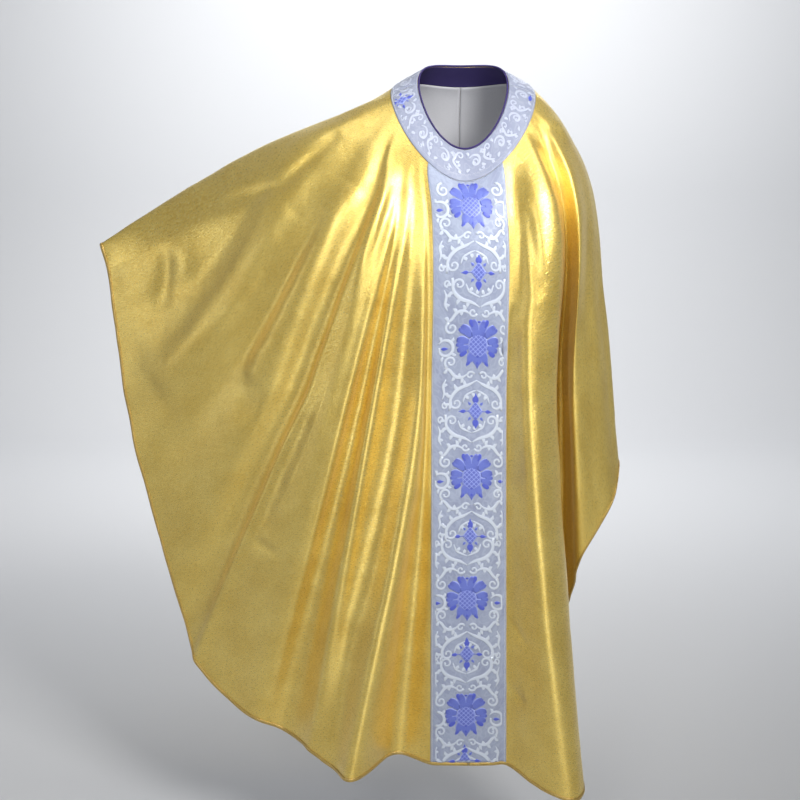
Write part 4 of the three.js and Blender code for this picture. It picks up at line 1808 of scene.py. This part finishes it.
# The neck band's scrollwork, one repeat: across is along the band, down is away from the neck.
BAND_REPEAT = (
    Stroke(spiral(0, 27, 15, -150, 0.95), (0.8, 2.2, 2.4, 2.0, 1.4), SCROLL, 0.5, 24),
    Stroke(spiral(0, 27, 6, 30, -0.9), (1.4, 1.4, 1.2, 1.8), SCROLL, 0.4, 14),
    Stroke(((16, 8), (24, 16), (20, 27), (29, 38), (38, 44)), (0.5, 2.0, 2.4, 2.0, 0.6), SCROLL, 0.5, 16),
    Stroke(spiral(33, 14, 8, 160, 1.1), (1.6, 1.6, 1.3, 1.8), SCROLL, 0.45, 18),
    Stroke(spiral(12, 46, 6, 200, -0.9), (1.3, 1.3, 1.1, 1.5), SCROLL, 0.4, 14),
    leaf(-12, 14, -40, 9), leaf(12, 14, 50, 8), leaf(13, 36, 130, 9), leaf(-10, 40, 220, 9),
    leaf(24, 26, 80, 9), leaf(29, 36, 20, 8), leaf(22, 20, -60, 7), leaf(33, 42, 150, 8),
)


class Collar(Trim):
    """Half of the neck band, with its interfacing, the facing inside it and its scrollwork."""

    COLUMNS = {Facing.FRONT: 205, Facing.BACK: 148}
    ROWS = 29
    # In millimetres along the band or down it.
    REPEAT = 62
    FIRST_CURL = -12
    END_CLEAR = 2
    SCROLL_CLEAR = 4
    STITCH_IN = 2.6

    def build(self) -> list[bpy.types.Object]:
        """Makes the three layers, then pins the figures on.

        Returns:
            The pieces.
        """
        name = self.facing.value
        area = Area(self.surface.half(self.facing), NECK_START, BAND_END, grain=Grain.STRIP)
        cloth = Cloth(self.surface, area, self.COLUMNS[self.facing], self.ROWS)
        cloth.centre_on(self.surface.centre(self.facing))
        band = self.keep(cloth.sheet(f"{name}_neck_band_cloth", BROCADE, soft=BROCADE_ROUNDING))
        stiff = self.keep(cloth.sheet(f"{name}_band_interfacing_cloth", INTERFACING))
        facing = self.keep(cloth.sheet(f"{name}_neck_facing_cloth", LINING))
        # The band wears the darker copy of the brocade: painted shade.
        self.wardrobe.dress(band, SHADED_NECK_BROCADE, f"{name}_neck_band")
        self.wardrobe.dress(stiff, CANVAS, f"{name}_band_interfacing")
        self.wardrobe.dress(facing, INDIGO, f"{name}_neck_facing")
        figures = self._figures(cloth)
        long = cloth.across[-1] - cloth.across[0]
        LOG.info("%s band %.4f m2, long %.3f m", name, cloth.area_flat(), long)
        self.lay(band, figures)
        self.lay(stiff)
        self.lay(facing)
        return self.pieces

    def _figures(self, cloth: Cloth) -> list[bpy.types.Object]:
        """Scrolls all along the band, blue buds by the shoulders, and its zigzag edge.

        Args:
            cloth: The band's cloth.

        Returns:
            The pieces.
        """
        low, high = float(cloth.across[0]) / MM, float(cloth.across[-1]) / MM
        depth = float(cloth.down[-1].min()) / MM
        half = min(-low, high) - self.END_CLEAR
        limits = (half, self.EDGE, depth - self.SCROLL_CLEAR)
        figure = Figure(cloth, BROCADE.outer, limits)
        count = int(half * 2 / self.REPEAT)
        for i in range(count + 1):
            place = (i - count / 2) * self.REPEAT + self.FIRST_CURL
            figure.add(bolder(BAND_REPEAT, 1.25), place, 0)
        # The band's scrolls wear the darker copy of the thread: painted shade.
        pieces = [self.finish(figure, "neck_band_scrolls", SHADED_BAND_THREAD)]
        if self.facing is Facing.FRONT:
            figure = Figure(cloth, BROCADE.outer + FIGURE_RISE, limits)
            figure.add(CROSS, low + 32, 34, 0.72)
            figure.add(BUD, high - 22, 42, 1.2)
            pieces.append(self.finish(figure, "neck_band_motifs", FIGURE))
        figure = Figure(cloth, BROCADE.outer - STITCH_SINK, (high - low, 0, depth))
        line = depth - self.STITCH_IN
        figure.add((zigzag((low + 1, line), (high - 1, line)),), 0, 0)
        pieces.append(self.finish(figure, "neck_band_stitching", ZIGZAG))
        return pieces


class NeckPiping(SubAssembly):
    """The indigo piping round the neck edge."""

    RADIUS = 1.8 * MM
    STEP = 0.25

    def build(self) -> list[bpy.types.Object]:
        """Runs a round cord along the neck edge.

        Returns:
            The pieces.
        """
        us = np.arange(0, self.surface.count, self.STEP)
        line = self.surface.base(us, np.zeros(us.shape))
        bpy.ops.object.select_all(action="DESELECT")
        curve = bpy.data.curves.new("neck_piping_line", "CURVE")
        curve.dimensions = "3D"
        curve.bevel_depth = self.RADIUS
        curve.bevel_resolution = 3
        spline = curve.splines.new("POLY")
        spline.points.add(len(line) - 1)
        places = np.concatenate([line, np.ones((len(line), 1))], axis=1)
        spline.points.foreach_set("co", places.ravel())
        spline.use_cyclic_u = True
        piece = bpy.data.objects.new("neck_piping_cord", curve)
        bpy.context.scene.collection.objects.link(piece)
        piece.select_set(True)
        bpy.context.view_layer.objects.active = piece
        bpy.ops.object.convert(target="MESH")
        piece = bpy.context.object
        piece.data.uv_layers.new(name="cloth")
        piece.data.shade_smooth()
        self.wardrobe.dress(self.keep(face_out(piece)), INDIGO, "neck_piping")
        return self.pieces


# ---- The studio -------------------------------------------------------------------------------


@dataclass(frozen=True)
class Softbox:
    """An area light."""

    name: str
    place: Colour
    aim: Colour
    size: tuple[float, float]
    watts: float
    colour: Colour = (1.0, 1.0, 1.0)
    spread: float = 180.0

    def build(self) -> None:
        """Adds the light."""
        bpy.ops.object.light_add(type="AREA", location=self.place)
        light = bpy.context.object
        light.name = self.name
        light.data.shape = "RECTANGLE"
        light.data.size, light.data.size_y = self.size
        light.data.energy = self.watts
        light.data.color = self.colour
        light.data.spread = math.radians(self.spread)
        away = np.array(self.place) - np.array(self.aim)
        flat = math.hypot(away[0], away[1])
        turn = math.atan2(away[1], away[0]) + math.pi / 2
        light.rotation_euler = (math.atan2(flat, away[2]), 0.0, turn)


SOFTBOXES = (
    Softbox("key", (1.0, -1.8, 1.05), (-0.1, 0.0, -0.2), (0.9, 1.1), 10.0, (1.0, 0.98, 0.94), 64.0),
    Softbox("front", (-0.75, -2.7, 0.35), (-0.2, 0.0, -0.4), (0.7, 1.0), 17.0, (1.0, 0.99, 0.96)),
    Softbox("low", (0.05, -2.9, -1.15), (-0.15, 0.0, -0.7), (1.5, 0.5), 11.5),
    Softbox("left", (-3.0, -0.7, -0.35), (-0.35, -0.1, -0.6), (0.8, 1.1), 4.5),
    Softbox("top", (-0.1, -0.4, 1.9), (-0.1, 0.0, -0.4), (1.4, 0.9), 13.0),
    Softbox("behind", (0.4, 2.4, 1.2), (0.0, 0.0, -0.5), (1.4, 1.4), 16.0),
    Softbox("backdrop", (0.0, 2.3, 1.6), (0.0, 4.8, -0.2), (3.0, 0.6), 130.0),
)


class Studio:
    """The floor and backdrop, the lights and the camera."""

    FLOOR = -1.52
    NEAR_EDGE = -6.0
    BEND_START = 3.6
    BEND_RADIUS = 1.2
    BEND_STEPS = 12
    TOP = 5.0
    HALF_WIDTH = 14.0
    PAPER = (0.62, 0.63, 0.65)
    AIR = (0.95, 0.97, 1.0, 1.0)
    AIR_STRENGTH = 0.24
    CAMERA_PLACE = (-0.117936, -2.408452, -0.126840)
    CAMERA_TILT = 79
    LENS = 56.25
    SENSOR = 36.0

    def build(self) -> None:
        """Makes the studio."""
        self._sweep()
        for softbox in SOFTBOXES:
            softbox.build()
        self._air()
        self._camera()

    def _sweep(self) -> None:
        """A sheet of studio paper: the floor, a bend, and the backdrop."""
        profile = [(self.NEAR_EDGE, self.FLOOR), (self.BEND_START, self.FLOOR)]
        for step in range(1, self.BEND_STEPS + 1):
            angle = math.pi / 2 * step / self.BEND_STEPS
            y = self.BEND_START + self.BEND_RADIUS * math.sin(angle)
            profile.append((y, self.FLOOR + self.BEND_RADIUS * (1 - math.cos(angle))))
        profile.append((self.BEND_START + self.BEND_RADIUS, self.TOP))
        sides = (-self.HALF_WIDTH, self.HALF_WIDTH)
        vertices = np.array([(x, y, z) for x in sides for y, z in profile])
        count = len(profile)
        faces = [[i, i + count, i + count + 1, i + 1] for i in range(count - 1)]
        sweep = mesh_object("studio_sweep", vertices, faces)
        graph = Graph("studio_paper")
        graph.put(graph.shader, {"Base Color": self.PAPER, "Roughness": 0.9})
        sweep.data.materials.append(graph.material)

    def _air(self) -> None:
        """The soft light from all round, and how the picture shows its colours."""
        world = bpy.data.worlds.new("studio_air")
        world.use_nodes = True
        background = world.node_tree.nodes["Background"]
        background.inputs["Color"].default_value = self.AIR
        background.inputs["Strength"].default_value = self.AIR_STRENGTH
        bpy.context.scene.world = world
        bpy.context.scene.view_settings.view_transform = "Standard"

    def _camera(self) -> None:
        """The camera, a little above the middle of the garment and looking down at it."""
        bpy.ops.object.camera_add(location=self.CAMERA_PLACE)
        camera = bpy.context.object
        camera.rotation_euler = (math.radians(self.CAMERA_TILT), 0.0, 0.0)
        camera.data.lens = self.LENS
        camera.data.sensor_width = self.SENSOR
        bpy.context.scene.camera = camera


CREASES = (
    # Ridges and valleys that fan out from the neck across the right front.
    Crease(((-0.072, -0.522), (-0.137, -0.904), (-0.203, -1.242), (-0.238, -1.42)), 0.013, 0.007),
    Crease(
        ((-0.113, -0.270), (-0.151, -0.484), (-0.214, -0.836), (-0.289, -1.249), (-0.325, -1.42)),
        0.011, 0.0075,
    ),
    Crease(((-0.109, -0.349), (-0.215, -0.983), (-0.245, -1.287), (-0.262, -1.48)), 0.016, -0.006),
    Crease(
        ((-0.156, -0.382), (-0.213, -0.625), (-0.294, -0.987), (-0.348, -1.215), (-0.39, -1.38)),
        0.024, -0.011,
    ),
    Crease(
        ((-0.140, -0.171), (-0.208, -0.351), (-0.278, -0.556),
         (-0.355, -0.719), (-0.440, -0.916), (-0.57, -1.22)),
        0.011, 0.014,
    ),
    Crease(
        ((-0.175, -0.171), (-0.248, -0.351), (-0.322, -0.556),
         (-0.402, -0.719), (-0.490, -0.916), (-0.62, -1.20)),
        0.022, -0.012,
    ),
    Crease(
        ((-0.123, -0.216), (-0.184, -0.451), (-0.220, -0.589), (-0.254, -0.731), (-0.330, -1.05)),
        0.010, 0.007,
    ),
    Crease(((-0.123, -0.171), (-0.171, -0.325)), 0.012, -0.005),
    Crease(((-0.212, -0.172), (-0.281, -0.320), (-0.353, -0.461), (-0.404, -0.545)), 0.034, 0.009),
    Crease(((-0.254, -0.220), (-0.332, -0.357), (-0.427, -0.535)), 0.014, -0.009),
    Crease(((-0.315, -0.223), (-0.431, -0.364), (-0.545, -0.509), (-0.604, -0.583)), 0.030, 0.008),
    Crease(((-0.372, -0.334), (-0.505, -0.494)), 0.009, 0.004),
    Crease(((-0.228, -0.084), (-0.344, -0.181), (-0.500, -0.223)), 0.012, -0.007),
    Crease(((-0.075, -0.743), (-0.100, -1.0), (-0.124, -1.249), (-0.140, -1.42)), 0.020, -0.013),
    # The hand under the cloth, the elbow and two slack places below it.
    Crease(((-0.583, -0.300), (-0.578, -0.343), (-0.592, -0.390), (-0.602, -0.430)), 0.018, -0.005),
    Crease(((-0.545, -0.290), (-0.535, -0.335), (-0.550, -0.380)), 0.022, 0.0035),
    Crease(((-0.430, -0.535), (-0.408, -0.580), (-0.425, -0.625)), 0.024, -0.005),
    Crease(((-0.400, -0.860), (-0.352, -0.875)), 0.008, -0.003),
    # The left front and shoulder.
    Crease(
        ((0.100, -0.380), (0.106, -0.438), (0.127, -0.683),
         (0.153, -0.968), (0.203, -1.306), (0.225, -1.46)),
        0.020, 0.008,
    ),
    Crease(((0.110, -0.217), (0.133, -0.377)), 0.010, -0.005),
    Crease(((0.130, -0.036), (0.176, -0.071), (0.197, -0.105)), 0.012, 0.004),
    Crease(((0.132, -0.057), (0.181, -0.092)), 0.008, -0.003),
    Crease(((0.086, -0.985), (0.118, -1.030)), 0.008, -0.004),
    Crease(((0.084, -1.115), (0.116, -1.150)), 0.008, -0.004),
)
PANELS = (
    PanelPlan(Facing.BACK, Side.RIGHT, 160, 200, Cut(0.95, 1.36, 0.79), Cut(0.95, 1.30, 0.78)),
    PanelPlan(Facing.FRONT, Side.RIGHT, 220, 200, Cut(0.98, 1.28, 0.93), Cut(0.98, 1.22, 0.91)),
    PanelPlan(Facing.FRONT, Side.LEFT, 190, 210, Cut(0.95, 1.32, 0.63), Cut(0.95, 1.26, 0.62)),
    PanelPlan(Facing.BACK, Side.LEFT, 130, 200, Cut(0.92, 1.36, 0.41), Cut(0.92, 1.30, 0.40)),
)


def main() -> None:
    """Builds the chasuble and the studio round it."""
    logging.basicConfig(level=logging.INFO, format="%(message)s")
    surface = DrapedSurface(Pattern(), CREASES)
    wardrobe = Wardrobe()
    parts: list[SubAssembly] = [Panel(surface, wardrobe, plan) for plan in PANELS]
    parts.append(Pillar(surface, wardrobe, Facing.FRONT, Cut(0.144, 1.17, 0.164)))
    parts.append(Pillar(surface, wardrobe, Facing.BACK, Cut(0.144, 1.30, 0.183)))
    parts.append(Collar(surface, wardrobe, Facing.FRONT, Cut(0.34, 0.19, 0.0244)))
    parts.append(Collar(surface, wardrobe, Facing.BACK, Cut(0.33, 0.12, 0.0171)))
    parts.append(NeckPiping(surface, wardrobe))
    for part in parts:
        for piece in part.build():
            LOG.info("%s: %d vertices", piece.name, len(piece.data.vertices))
    Studio().build()


if __name__ == "__main__":
    main()
